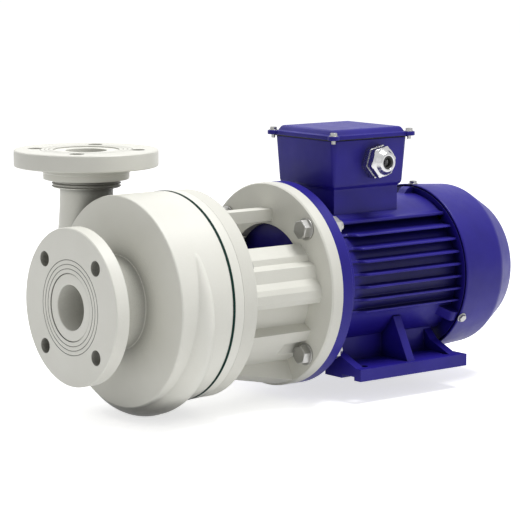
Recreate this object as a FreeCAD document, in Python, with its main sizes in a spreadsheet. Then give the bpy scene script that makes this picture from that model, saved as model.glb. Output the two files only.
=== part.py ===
import FreeCAD, Part
import os
import re
import Sketcher
from FreeCAD import Rotation, Vector

# Close-coupled corrosion-resistant plastic centrifugal pump with its foot-and-flange motor.
# Millimetres. The origin is the centre of the suction flange face, +X runs along the shaft
# towards the motor and +Z is up. The discharge stands on the +Y side.

doc = FreeCAD.newDocument("plastic_pump")
sheet = doc.addObject("Spreadsheet::Sheet", "Sizes")
sheet_row = 0
nodes = []


def size(alias, number):
    """Write one driving dimension into the sheet."""
    global sheet_row
    sheet_row += 1
    sheet.set("A%d" % sheet_row, alias)
    sheet.set("B%d" % sheet_row, str(number))
    sheet.setAlias("B%d" % sheet_row, alias)


# Main sizes
size("overall_length", 618)
size("overall_width", 324.3)
size("overall_height", 328.8)

# Clearances
size("seat_gap", 0.05)
size("running_gap", 0.3)

# Suction side
size("suction_bore_radius", 26.5)
size("nozzle_thread_radius", 40)
size("nozzle_end_recess", 0.6)
size("suction_flange_radius", 92.5)
size("suction_flange_thickness", 18.5)
size("suction_bolt_radius", 72.5)
size("flange_hole_radius", 9)
size("flange_hub_radius", 53)
size("flange_hub_length", 8)
size("flange_edge", 1.2)
size("groove_width", 0.9)
size("groove_depth", 0.8)
size("first_groove_radius", 45)
size("groove_pitch", 5.2)
size("nozzle_boss_radius", 55)

# Discharge side
size("discharge_bore_radius", 25)
size("discharge_pipe_radius", 32.3)
size("discharge_flange_radius", 87)
size("discharge_flange_thickness", 20)
size("discharge_bolt_radius", 62.5)
size("discharge_height", 168.6)
size("discharge_thread_length", 38)

# Volute casing
size("volute_front", 68)
size("volute_length", 72.8)
size("volute_wall", 14)
size("chamber_inset", 37)
size("spiral_inset", 33)
size("spiral_depth", 20.2)
size("barrel_edge", 2.2)
size("spiral_throw_across", 8.2)
size("spiral_throw_down", 5)
size("spiral_section_radius", 30)
size("spiral_bore_radius", 24)
size("spiral_sweep", 211)
size("cover_spigot_length", 14)
size("cover_spigot_inset", 25)

# Cover and casing bolts
size("gasket_thickness", 2)
size("gasket_inset", 0.2)
size("gasket_width", 19)
size("cover_thickness", 14.3)
size("cover_shaft_hole_radius", 21)
size("seal_chamber_radius", 45)
size("seal_chamber_outer_radius", 52)
size("seal_chamber_length", 49)
size("seal_seat_radius", 30)
size("seal_seat_depth", 9)
size("gland_plate_recess", 5.1)
size("casing_bolt_inset", 14)
size("casing_bolt_radius", 4)
size("casing_bolt_head", 7.5)
size("casing_bolt_head_height", 5.3)
size("casing_bolt_grip", 24)
size("casing_washer_radius", 8)
size("casing_washer_thickness", 1.6)

# Impeller and pump shaft
size("impeller_gap", 2.5)
size("impeller_width", 38.5)
size("impeller_tip_gap", 10)
size("impeller_hub_inset", 16.5)
size("impeller_eye_radius", 25)
size("shroud_thickness", 3.5)
size("vane_thickness", 4.5)
size("impeller_hub_radius", 19)
size("impeller_seat_radius", 11)
size("nut_thread_radius", 7.5)
size("nut_radius", 13.5)
size("sleeve_radius", 17.5)
size("sleeve_wall", 2.5)
size("sleeve_length", 80)
size("clamp_hub_radius", 25)
size("clamp_hub_length", 66)
size("clamp_neck_radius", 20)

# Mechanical seal
size("stationary_ring_nose", 8)
size("stationary_nose_radius", 23)
size("gland_plate_thickness", 6)
size("gland_plate_radius", 44)
size("gland_plate_hole_radius", 24)
size("rotating_ring_length", 10)
size("rotating_ring_radius", 25.5)
size("bellows_length", 22)
size("bellows_root_radius", 20)
size("bellows_crest_radius", 27)
size("seal_clamp_length", 8)
size("seal_clamp_radius", 25)

# Lantern bracket
size("lantern_front_inset", 0.5)
size("lantern_front_thickness", 19.4)
size("lantern_window_length", 114.3)
size("motor_flange_radius", 125)
size("lantern_flange_thickness", 16.5)
size("lantern_bore_radius", 75)
size("spigot_radius", 90)
size("spigot_height", 4)
size("top_rib_half_width", 10.5)
size("top_rib_bottom", 79)
size("top_rib_top", 94)
size("skirt_radius", 97)
size("skirt_wall", 16)
size("skirt_angle", 124)
size("keel_front_radius", 100)
size("keel_back_radius", 123)
size("keel_angle", 50)
size("hollow_radius", 82)
size("hollow_wall", 8)
size("hollow_angle", 164)
size("bolt_pocket_radius", 16)
size("lantern_bolt_circle", 107.5)
size("lantern_hole_radius", 7.5)
size("lantern_bolt_radius", 7)
size("lantern_bolt_head", 12.2)
size("lantern_bolt_head_height", 9)
size("lantern_nut_height", 11)
size("lantern_bolt_end", 5)
size("lantern_washer_radius", 14)
size("lantern_washer_thickness", 2.5)

# Motor front shield, frame and rear shield
size("shield_flange_thickness", 15.5)
size("shield_front_radius", 100)
size("shield_back_radius", 95)
size("shield_length", 29)
size("frame_bore_radius", 81)
size("frame_barrel_radius", 88)
size("frame_crown_radius", 97)
size("crown_half_width", 62)
size("fin_tip_radius", 99.5)
size("fin_thickness", 3.4)
size("fin_pitch", 15.4)
size("fin_front_inset", 16)
size("shaft_height", 112)

# Feet
size("foot_overhang", 4.2)
size("foot_outer", 112)
size("foot_inner", 46)
size("foot_wall", 10)
size("foot_rib_top", 78)
size("foot_rib_foot", 106)
size("foot_relief_inner", 77)
size("foot_relief_outer", 100)
size("foot_relief_depth", 4.5)
size("foot_thickness", 15)
size("foot_hole_spacing_along", 140)
size("foot_hole_spacing_across", 190)
size("foot_hole_radius", 6)
size("foot_web_thickness", 12)

# Motor inside
size("stator_inset", 20.2)
size("front_bearing_inset", 2.2)
size("rear_bearing_inset", 7.7)
size("shaft_tail_length", 6)
size("stator_bore_radius", 51)
size("winding_overhang", 18)
size("winding_outer_radius", 74)
size("winding_inner_radius", 54)
size("rotor_radius", 50.5)
size("shaft_end_radius", 14)
size("shaft_end_length", 60)
size("bearing_bore_radius", 15)
size("bearing_outer_radius", 31)
size("bearing_width", 16)
size("rotor_seat_radius", 19)
size("fan_seat_radius", 12)
size("key_width", 8)
size("key_height", 7)
size("key_length", 45)

# Fan and cowl
size("cowl_step", 1)
size("cowl_side_length", 71.5)
size("cowl_end_depth", 18.2)
size("fan_inset", 19.7)
size("cowl_front_radius", 106.9)
size("cowl_bend_radius", 97)
size("cowl_end_radius", 76)
size("cowl_wall", 2)
size("fan_length", 28)
size("fan_radius", 84)
size("fan_hub_radius", 24)
size("fan_blade_thickness", 3)
size("grille_hole_radius", 4)
size("cowl_screw_radius", 4.2)
size("cowl_screw_head_height", 2.6)

# Terminal box
size("box_inset", 2.2)
size("box_length", 112)
size("box_half_width", 51)
size("box_bottom", 118.7)
size("box_draft", 4.6)
size("box_wall", 4)
size("neck_inset", 4.5)
size("lid_gasket_thickness", 1.5)
size("lid_overhang", 5.4)
size("lid_rim_height", 5.5)
size("lid_crown_height", 6)
size("lid_crown_inset", 9)
size("ear_radius", 8)
size("lid_screw_radius", 4.2)
size("board_length", 64)
size("board_width", 44)
size("board_height", 8)
size("stud_radius", 2.5)
size("stud_height", 16)

# Cable gland
size("gland_inset", 63)
size("gland_height", 148.5)
size("gland_seat", 57)
size("gland_thread_radius", 12.5)
size("gland_hex_radius", 18.5)
size("gland_hex_height", 7)
size("gland_nut_radius", 17.8)
size("gland_nut_height", 10)
size("gland_dome_height", 7)
size("gland_dome_radius", 11.5)
size("gland_bore_radius", 8)
size("locknut_height", 4)
size("gland_wall_inside", -44)

EXPRESSION_WORDS = {"cos", "sin", "tan", "sqrt", "deg", "min", "max"}


def bound(text):
    """Turn the names in a formula into references to the sheet."""
    def place(match):
        word = match.group(0)
        return word if word in EXPRESSION_WORDS else "Sizes." + word
    return re.sub(r"[a-z][a-z_]*", place, str(text))


def tie(thing, prop, text):
    thing.setExpression(prop, bound(text))


# Places along the shaft that several pieces share
FLANGE_HUB_END = "suction_flange_thickness + flange_hub_length"
BOSS_FRONT = FLANGE_HUB_END + " + running_gap"
COVER_FRONT = "volute_back + gasket_thickness"
COVER_BACK = COVER_FRONT + " + cover_thickness"
SPIGOT_FRONT = COVER_FRONT + " - cover_spigot_length"
GLAND_FACE = COVER_BACK + " - gland_plate_recess"
SEAT_FRONT = GLAND_FACE + " - seal_seat_depth"
LANTERN_BACK_FACE = COVER_BACK + " + lantern_front_thickness"
LANTERN_FLANGE = LANTERN_BACK_FACE + " + lantern_window_length"
MOTOR_FACE = LANTERN_FLANGE + " + lantern_flange_thickness"
SHIELD_BACK = MOTOR_FACE + " + shield_flange_thickness"
FRAME_FRONT = SHIELD_BACK + " + shield_length"
FRAME_BACK = "frame_back"
DISCHARGE_ACROSS = "spiral_throw_across + spiral_path_radius + spiral_section_radius - discharge_pipe_radius"


def derived(alias, formula):
    """Write a size that follows from others into the sheet."""
    size(alias, "=" + formula)


# The width sets the spiral and the barrel, and these set what fits inside and around them
derived("spiral_path_radius",
        "(overall_width - discharge_flange_radius + discharge_pipe_radius) / 2 - spiral_section_radius")
derived("barrel_radius", "spiral_path_radius + spiral_depth")
derived("chamber_radius", "barrel_radius - chamber_inset")
derived("impeller_radius", "chamber_radius - impeller_tip_gap")
derived("cover_spigot_radius", "barrel_radius - cover_spigot_inset")
derived("gasket_inner_radius", "barrel_radius - gasket_width")
derived("casing_bolt_circle", "barrel_radius - casing_bolt_inset")
derived("lantern_front_radius", "barrel_radius - lantern_front_inset")

# The volute's places
derived("volute_back", "volute_front + volute_length")
derived("chamber_front", "volute_front + volute_wall")
derived("spiral_middle", "volute_front + spiral_inset")
derived("impeller_front", "chamber_front + impeller_gap")
derived("impeller_back", "impeller_front + impeller_width")
derived("impeller_hub_front", "impeller_front + impeller_hub_inset")
derived("nut_nose", "impeller_front + impeller_gap")

# The length sets the motor frame, and the frame sets what it carries
derived("frame_front", FRAME_FRONT)
derived("frame_length", "overall_length - cowl_end_depth - cowl_side_length - cowl_step - frame_front")
derived("frame_back", "frame_front + frame_length")
derived("foot_front", "frame_front - foot_overhang")
derived("foot_length", "frame_length + foot_overhang / 2")
derived("stator_front", "frame_front + stator_inset")
derived("stator_length", "frame_length - 2 * stator_inset - rear_bearing_inset")
derived("front_bearing_front", SHIELD_BACK + " + front_bearing_inset")
derived("rear_bearing_front", "frame_back - rear_bearing_inset")
derived("cowl_front", "frame_back + cowl_step")
derived("cowl_bend", "cowl_front + cowl_side_length")
derived("cowl_end", "cowl_bend + cowl_end_depth")
derived("fan_front", "cowl_front + fan_inset")
derived("shaft_tail_end", "fan_front + fan_length + shaft_tail_length")
derived("box_front", "frame_front + box_inset")
derived("gland_along", "box_front + gland_inset")

# The height sets the terminal box's top
derived("spiral_bottom", "spiral_path_radius + spiral_section_radius + spiral_throw_down")
derived("box_top",
        "overall_height - spiral_bottom - lid_gasket_thickness - lid_rim_height - lid_crown_height")

doc.recompute()


def plane(body, role):
    return next(part for part in body.Origin.OriginFeatures if part.Role == role)


def new_sketch(body, name, role, offset="0"):
    """A sketch on one of the body's own planes, moved along that plane's normal."""
    sketch = body.newObject("Sketcher::SketchObject", name)
    sketch.AttachmentSupport = [(plane(body, role), "")]
    sketch.MapMode = "FlatFace"
    if offset != "0":
        tie(sketch, "AttachmentOffset.Base.z", offset)
    return sketch


def fix(sketch, kind, geometry, point, text, guess):
    index = sketch.addConstraint(Sketcher.Constraint(kind, -1, 1, geometry, point, guess))
    tie(sketch, "Constraints[%d]" % index, text)


def draw_outline(sketch, corners):
    """A closed outline whose corners are pairs of formulas."""
    count = len(corners)
    first = sketch.GeometryCount
    turn = Rotation(Vector(0, 0, 1), 360.0 / count)
    spots = [Vector(100, 0, 0)]
    for _ in range(count - 1):
        spots.append(turn.multVec(spots[-1]))
    for index in range(count):
        sketch.addGeometry(Part.LineSegment(spots[index], spots[(index + 1) % count]))
    for index in range(count):
        following = first + (index + 1) % count
        sketch.addConstraint(Sketcher.Constraint("Coincident", first + index, 2, following, 1))
    for index, (across, up) in enumerate(corners):
        fix(sketch, "DistanceX", first + index, 1, across, spots[index].x)
        fix(sketch, "DistanceY", first + index, 1, up, spots[index].y)


def draw_circle(sketch, across, up, radius):
    index = sketch.addGeometry(Part.Circle(Vector(10, 10, 0), Vector(0, 0, 1), 5))
    fix(sketch, "DistanceX", index, 3, across, 10)
    fix(sketch, "DistanceY", index, 3, up, 10)
    limit = sketch.addConstraint(Sketcher.Constraint("Radius", index, 5))
    tie(sketch, "Constraints[%d]" % limit, radius)


def node(thing, label):
    """Name a finished piece and remember it for the hand-over."""
    thing.Label = label
    nodes.append(thing)
    return thing


def new_body(label):
    return node(doc.addObject("PartDesign::Body", label + "_body"), label)


def revolve(body, corners, name="turning", angle="360", role="XZ_Plane", midplane=False):
    """Turn an outline about the shaft line."""
    sketch = new_sketch(body, name + "_outline", role)
    draw_outline(sketch, corners)
    turning = body.newObject("PartDesign::Revolution", name)
    turning.Profile = sketch
    turning.ReferenceAxis = (sketch, ["H_Axis"])
    turning.Midplane = midplane
    tie(turning, "Angle", angle)
    body.Tip = turning
    return turning


def turned(label, corners):
    body = new_body(label)
    revolve(body, corners)
    return body


def pad(body, name, role, offset, length, corners=None, circle=None, cut=False):
    """Raise, or cut, an outline or a circle along its plane's normal."""
    sketch = new_sketch(body, name + "_outline", role, offset)
    if corners:
        draw_outline(sketch, corners)
    if circle:
        draw_circle(sketch, *circle)
    feature = body.newObject("PartDesign::Pocket" if cut else "PartDesign::Pad", name)
    feature.Profile = sketch
    feature.Reversed = cut
    tie(feature, "Length", length)
    body.Tip = feature
    return feature


def around_shaft(body, feature, count):
    """Repeat a feature round the shaft line."""
    pattern = body.newObject("PartDesign::PolarPattern", feature.Name + "_round")
    pattern.Originals = [feature]
    pattern.Axis = (plane(body, "X_Axis"), [""])
    pattern.Angle = 360
    pattern.Occurrences = count
    body.Tip = pattern
    return pattern


def holes_around(body, name, start, length, circle_radius, hole_radius, count, turn):
    """A ring of drilled holes, the first one turned up from +Y by turn degrees."""
    across = "(%s) * cos(%s deg)" % (circle_radius, turn)
    up = "(%s) * sin(%s deg)" % (circle_radius, turn)
    hole = pad(body, name, "YZ_Plane", start, length, circle=(across, up, hole_radius), cut=True)
    return around_shaft(body, hole, count)


POINTING = {
    "+X": Rotation(Vector(0, 1, 0), 90),
    "-X": Rotation(Vector(0, 1, 0), -90),
    "+Y": Rotation(Vector(1, 0, 0), -90),
    "-Y": Rotation(Vector(1, 0, 0), 90),
    "+Z": Rotation(),
}


def put(thing, at, pointing="+Z"):
    """Place a thing by formulas, with its own Z turned to point the given way."""
    thing.Placement = FreeCAD.Placement(Vector(), POINTING[pointing])
    for letter, text in zip("xyz", at):
        tie(thing, "Placement.Base." + letter, text)
    return thing


def rod(name, at, pointing, radius, length):
    made = doc.addObject("Part::Cylinder", name)
    tie(made, "Radius", radius)
    tie(made, "Height", length)
    return put(made, at, pointing)


def hexagon(name, at, pointing, corner_radius, length):
    made = doc.addObject("Part::Prism", name)
    made.Polygon = 6
    tie(made, "Circumradius", corner_radius)
    tie(made, "Height", length)
    return put(made, at, pointing)


def block(name, at, along, across, high):
    made = doc.addObject("Part::Box", name)
    tie(made, "Length", along)
    tie(made, "Width", across)
    tie(made, "Height", high)
    return put(made, at)


def joined(name, pieces):
    made = doc.addObject("Part::MultiFuse", name)
    made.Shapes = pieces
    made.Refine = True
    return made


def trimmed(name, base, tools):
    """Cut tools out of a base piece."""
    made = doc.addObject("Part::Cut", name)
    made.Base = base
    made.Tool = tools[0] if len(tools) == 1 else joined(name + "_tools", tools)
    made.Refine = True
    return made


def common(name, first, second):
    made = doc.addObject("Part::MultiCommon", name)
    made.Shapes = [first, second]
    return made


def group(name, pieces):
    made = doc.addObject("Part::Compound", name)
    made.Links = pieces
    return made


def ring_places(circle_radius, count, start_turn):
    """Formulas for the places of a ring of fasteners round the shaft."""
    places = []
    for index in range(count):
        turn = start_turn + index * 360.0 / count
        places.append(("(%s) * cos(%s deg)" % (circle_radius, turn),
                       "(%s) * sin(%s deg)" % (circle_radius, turn)))
    return places


# Volute casing: barrel, spiral channel, threaded suction nozzle and discharge pipe
def make_volute():
    body = new_body("volute_casing")
    revolve(body, [
        ("nozzle_end_recess", "suction_bore_radius"),
        ("nozzle_end_recess", "nozzle_thread_radius"),
        (BOSS_FRONT, "nozzle_thread_radius"),
        (BOSS_FRONT, "nozzle_boss_radius - 1"),
        (BOSS_FRONT + " + 1", "nozzle_boss_radius"),
        ("volute_front - 5", "nozzle_boss_radius"),
        ("volute_front", "nozzle_boss_radius + 5"),
        ("volute_front", "barrel_radius - barrel_edge"),
        ("volute_front + barrel_edge", "barrel_radius"),
        ("volute_back", "barrel_radius"),
        ("volute_back", "cover_spigot_radius"),
        (SPIGOT_FRONT, "cover_spigot_radius"),
        (SPIGOT_FRONT, "chamber_radius"),
        ("chamber_front", "chamber_radius"),
        ("chamber_front", "suction_bore_radius"),
    ], name="barrel")
    add_spiral(body, "spiral", "spiral_section_radius", "PartDesign::Revolution")
    pad(body, "discharge_pipe", "XY_Plane", "0 - spiral_throw_down",
        "discharge_height - discharge_thread_length + spiral_throw_down",
        circle=("spiral_middle", DISCHARGE_ACROSS, "discharge_pipe_radius"))
    pad(body, "discharge_thread", "XY_Plane", "discharge_height - discharge_thread_length",
        "discharge_thread_length - nozzle_end_recess",
        circle=("spiral_middle", DISCHARGE_ACROSS, "nozzle_thread_radius"))
    pad(body, "chamber_again", "YZ_Plane", "chamber_front", SPIGOT_FRONT + " - chamber_front",
        circle=("0", "0", "chamber_radius"), cut=True)
    pad(body, "suction_bore_again", "YZ_Plane", "nozzle_end_recess", "chamber_front",
        circle=("0", "0", "suction_bore_radius"), cut=True)
    pad(body, "cover_seat_again", "YZ_Plane", SPIGOT_FRONT, "cover_spigot_length",
        circle=("0", "0", "cover_spigot_radius"), cut=True)
    add_spiral(body, "spiral_bore", "spiral_bore_radius", "PartDesign::Groove")
    pad(body, "discharge_bore", "XY_Plane", "0 - spiral_throw_down", "discharge_height + spiral_throw_down",
        circle=("spiral_middle", DISCHARGE_ACROSS, "discharge_bore_radius"), cut=True)
    hole = ("casing_bolt_circle * cos(22.5 deg)", "casing_bolt_circle * sin(22.5 deg)", "casing_bolt_radius")
    drilled = pad(body, "casing_thread", "YZ_Plane", "volute_back - 14", "15", circle=hole, cut=True)
    around_shaft(body, drilled, 8)
    return body


def add_spiral(body, name, section_radius, kind):
    """A round channel on a circle set off the shaft line, so that its throat grows to the discharge."""
    sketch = new_sketch(body, name + "_outline", "XY_Plane", "0 - spiral_throw_down")
    draw_circle(sketch, "spiral_middle", "spiral_throw_across + spiral_path_radius", section_radius)
    line = sketch.addGeometry(Part.LineSegment(Vector(0, 1, 0), Vector(50, 1, 0)), True)
    sketch.addConstraint(Sketcher.Constraint("Horizontal", line))
    fix(sketch, "DistanceX", line, 1, "volute_front", 1)
    fix(sketch, "DistanceY", line, 1, "spiral_throw_across", 1)
    fix(sketch, "DistanceX", line, 2, "volute_back", 50)
    feature = body.newObject(kind, name)
    feature.Profile = sketch
    feature.ReferenceAxis = (sketch, ["Axis0"])
    feature.Reversed = True
    tie(feature, "Angle", "spiral_sweep")
    body.Tip = feature
    return feature


# Screwed pipe flanges with sealing grooves
def make_flange(label, radius, thickness, bolt_radius):
    body = new_body(label)
    bore = "nozzle_thread_radius + seat_gap"
    corners = [("0", bore)]
    for index in range(3):
        middle = "first_groove_radius + %d * groove_pitch" % index
        corners.append(("0", middle + " - groove_width / 2"))
        corners.append(("groove_depth", middle + " - groove_width / 2"))
        corners.append(("groove_depth", middle + " + groove_width / 2"))
        corners.append(("0", middle + " + groove_width / 2"))
    corners += [
        ("0", radius + " - flange_edge"),
        ("flange_edge", radius),
        (thickness + " - flange_edge", radius),
        (thickness, radius + " - flange_edge"),
        (thickness, "flange_hub_radius"),
        (thickness + " + flange_hub_length - 1", "flange_hub_radius"),
        (thickness + " + flange_hub_length", "flange_hub_radius - 1"),
        (thickness + " + flange_hub_length", bore),
    ]
    revolve(body, corners)
    holes_around(body, "bolt_holes", "0", thickness, bolt_radius, "flange_hole_radius", 4, 45)
    return body


def make_discharge_flange():
    body = make_flange("discharge_flange", "discharge_flange_radius", "discharge_flange_thickness",
                       "discharge_bolt_radius")
    body.Placement = FreeCAD.Placement(Vector(), Rotation(Vector(0, 1, 0), 90))
    tie(body, "Placement.Base.x", "spiral_middle")
    tie(body, "Placement.Base.y", DISCHARGE_ACROSS)
    tie(body, "Placement.Base.z", "discharge_height")


# Gasket and cover behind the volute, with the seal chamber on the cover's back
def make_cover():
    gasket = turned("casing_gasket", [
        ("volute_back", "gasket_inner_radius"),
        ("volute_back", "barrel_radius - gasket_inset"),
        (COVER_FRONT, "barrel_radius - gasket_inset"),
        (COVER_FRONT, "gasket_inner_radius"),
    ])
    holes_around(gasket, "bolt_holes", "volute_back - 1", "gasket_thickness + 2", "casing_bolt_circle",
                 "casing_bolt_radius + 0.5", 8, 22.5)
    cover = turned("pump_cover", [
        (SPIGOT_FRONT + " + seat_gap", "cover_shaft_hole_radius"),
        (SPIGOT_FRONT + " + seat_gap", "cover_spigot_radius - seat_gap - 1"),
        (SPIGOT_FRONT + " + seat_gap + 1", "cover_spigot_radius - seat_gap"),
        (COVER_FRONT, "cover_spigot_radius - seat_gap"),
        (COVER_FRONT, "barrel_radius"),
        (COVER_BACK, "barrel_radius"),
        (COVER_BACK, "seal_chamber_outer_radius"),
        (COVER_BACK + " + seal_chamber_length", "seal_chamber_outer_radius"),
        (COVER_BACK + " + seal_chamber_length", "seal_chamber_radius"),
        (GLAND_FACE, "seal_chamber_radius"),
        (GLAND_FACE, "seal_seat_radius"),
        (SEAT_FRONT, "seal_seat_radius"),
        (SEAT_FRONT, "cover_shaft_hole_radius"),
    ])
    holes_around(cover, "bolt_holes", COVER_FRONT + " - 1", "cover_thickness + 2", "casing_bolt_circle",
                 "casing_bolt_radius + 0.5", 8, 22.5)
    holes_around(cover, "gland_threads", GLAND_FACE + " - 10", "11", "37", "2.5", 4, 45)


# Closed impeller with curved vanes, and the nut that holds it
def make_impeller():
    body = new_body("impeller")
    revolve(body, [
        ("impeller_hub_front", "impeller_seat_radius + seat_gap"),
        ("impeller_hub_front", "impeller_hub_radius - 2"),
        ("impeller_back - 12", "impeller_hub_radius + 4"),
        ("impeller_back - shroud_thickness", "impeller_hub_radius + 26"),
        ("impeller_back - shroud_thickness", "impeller_radius"),
        ("impeller_back", "impeller_radius"),
        ("impeller_back", "impeller_seat_radius + seat_gap"),
    ], name="hub_and_back_shroud")
    sketch = new_sketch(body, "vane_outline", "YZ_Plane", "impeller_front + 8")
    draw_vane(sketch)
    vane = body.newObject("PartDesign::Pad", "vane")
    vane.Profile = sketch
    tie(vane, "Length", "impeller_back - impeller_front - 8 - shroud_thickness / 2")
    body.Tip = vane
    around_shaft(body, vane, 6)
    revolve(body, [
        ("impeller_front", "impeller_eye_radius"),
        ("impeller_front", "impeller_eye_radius + shroud_thickness"),
        ("impeller_front + 7", "impeller_eye_radius + 14"),
        ("impeller_front + 9.5", "impeller_radius"),
        ("impeller_front + 9.5 + shroud_thickness", "impeller_radius"),
        ("impeller_front + 7.5 + shroud_thickness", "impeller_eye_radius + 12"),
        ("impeller_front + 4 + shroud_thickness", "impeller_eye_radius"),
    ], name="front_shroud")
    turned("impeller_nut", [
        ("nut_nose", "0"),
        ("nut_nose + 2", "nut_radius / 2"),
        ("nut_nose + 7", "nut_radius - 2"),
        ("impeller_hub_front", "nut_radius"),
        ("impeller_hub_front", "nut_thread_radius + seat_gap"),
        ("nut_nose + 6", "nut_thread_radius + seat_gap"),
        ("nut_nose + 6", "0"),
    ])


def draw_vane(sketch):
    """A backward-curved vane: two bent faces in straight runs from the hub to the rim."""
    corners = [
        ("impeller_hub_radius + 6", "0 - vane_thickness / 2"),
        ("impeller_radius * 0.55", "impeller_radius * 0.16 - vane_thickness / 2"),
        ("impeller_radius * 0.74", "impeller_radius * 0.4 - vane_thickness / 2"),
        ("impeller_radius * 0.77", "impeller_radius * 0.6"),
        ("impeller_radius * 0.71", "impeller_radius * 0.65"),
        ("impeller_radius * 0.66", "impeller_radius * 0.46"),
        ("impeller_radius * 0.5", "impeller_radius * 0.22 + vane_thickness / 2"),
        ("impeller_hub_radius + 6", "vane_thickness / 2"),
    ]
    draw_outline(sketch, corners)


# Stub shaft that is clamped on the motor shaft, its ceramic sleeve and clamp screws
HUB_BACK = MOTOR_FACE + " - 9"
COWL_SCREW_PLACE = "cowl_front + 5"
HUB_FRONT = HUB_BACK + " - clamp_hub_length"


def make_pump_shaft():
    shaft_end = MOTOR_FACE + " - shaft_end_length - running_gap"
    shaft = turned("pump_shaft", [
        ("nut_nose + 6.5", "0"),
        ("nut_nose + 6.5", "nut_thread_radius"),
        ("impeller_hub_front", "nut_thread_radius"),
        ("impeller_hub_front", "impeller_seat_radius"),
        ("impeller_back", "impeller_seat_radius"),
        ("impeller_back", "sleeve_radius - sleeve_wall"),
        ("impeller_back + sleeve_length", "sleeve_radius - sleeve_wall"),
        ("impeller_back + sleeve_length", "clamp_neck_radius"),
        (HUB_FRONT, "clamp_neck_radius"),
        (HUB_FRONT + " + 3", "clamp_hub_radius"),
        (HUB_BACK, "clamp_hub_radius"),
        (HUB_BACK, "shaft_end_radius + seat_gap"),
        (shaft_end, "shaft_end_radius + seat_gap"),
        (shaft_end, "0"),
    ])
    pad(shaft, "keyway", "YZ_Plane", shaft_end, "clamp_hub_length", corners=[
        ("0 - key_width / 2", "0"),
        ("key_width / 2", "0"),
        ("key_width / 2", "shaft_end_radius + key_height / 2 + running_gap"),
        ("0 - key_width / 2", "shaft_end_radius + key_height / 2 + running_gap"),
    ], cut=True)
    turned("shaft_sleeve", [
        ("impeller_back", "sleeve_radius - sleeve_wall + seat_gap"),
        ("impeller_back", "sleeve_radius"),
        ("impeller_back + sleeve_length - running_gap", "sleeve_radius"),
        ("impeller_back + sleeve_length - running_gap", "sleeve_radius - sleeve_wall + seat_gap"),
    ])


# Outside mechanical seal: stationary ring, gland plate, rotating ring, bellows and clamp
NOSE_END = GLAND_FACE + " + stationary_ring_nose"
RING_FRONT = NOSE_END + " + running_gap"
BELLOWS_FRONT = RING_FRONT + " + rotating_ring_length"
CLAMP_FRONT = BELLOWS_FRONT + " + bellows_length"


def make_seal():
    inner = "sleeve_radius + seat_gap"
    turned("seal_stationary_ring", [
        (SEAT_FRONT, "sleeve_radius + running_gap"),
        (SEAT_FRONT, "seal_seat_radius - seat_gap"),
        (GLAND_FACE, "seal_seat_radius - seat_gap"),
        (GLAND_FACE, "stationary_nose_radius"),
        (NOSE_END, "stationary_nose_radius"),
        (NOSE_END, "sleeve_radius + running_gap"),
    ])
    plate = turned("seal_gland_plate", [
        (GLAND_FACE, "gland_plate_hole_radius"),
        (GLAND_FACE, "gland_plate_radius"),
        (GLAND_FACE + " + gland_plate_thickness", "gland_plate_radius"),
        (GLAND_FACE + " + gland_plate_thickness", "gland_plate_hole_radius"),
    ])
    holes_around(plate, "screw_holes", GLAND_FACE + " - 1", "gland_plate_thickness + 2", "37", "2.7", 4, 45)
    screws = []
    for across, up in ring_places("37", 4, 45):
        head = rod("screw_head", (GLAND_FACE + " + gland_plate_thickness", across, up), "+X", "4.5", "4")
        shank = rod("screw_shank", (GLAND_FACE + " - 8", across, up), "+X", "2.4",
                    "gland_plate_thickness + 10")
        screws.append(joined("gland_screw", [head, shank]))
    node(group("gland_screw_set", screws), "seal_gland_screws")
    turned("seal_rotating_ring", [
        (RING_FRONT, inner),
        (RING_FRONT, "rotating_ring_radius - 2"),
        (RING_FRONT + " + 3", "rotating_ring_radius"),
        (BELLOWS_FRONT, "rotating_ring_radius"),
        (BELLOWS_FRONT, inner),
    ])
    folds = 5
    corners = [(BELLOWS_FRONT, inner)]
    for index in range(folds):
        step = "bellows_length / %d" % folds
        corners.append((BELLOWS_FRONT + " + %.1f * " % (index + 0.1) + step, "bellows_root_radius"))
        corners.append((BELLOWS_FRONT + " + %.1f * " % (index + 0.4) + step, "bellows_crest_radius"))
        corners.append((BELLOWS_FRONT + " + %.1f * " % (index + 0.6) + step, "bellows_crest_radius"))
    corners.append((CLAMP_FRONT, "bellows_root_radius"))
    corners.append((CLAMP_FRONT, inner))
    turned("seal_bellows", corners)
    turned("seal_clamp_ring", [
        (CLAMP_FRONT, inner),
        (CLAMP_FRONT, "seal_clamp_radius"),
        (CLAMP_FRONT + " + seal_clamp_length", "seal_clamp_radius"),
        (CLAMP_FRONT + " + seal_clamp_length", inner),
    ])


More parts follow.
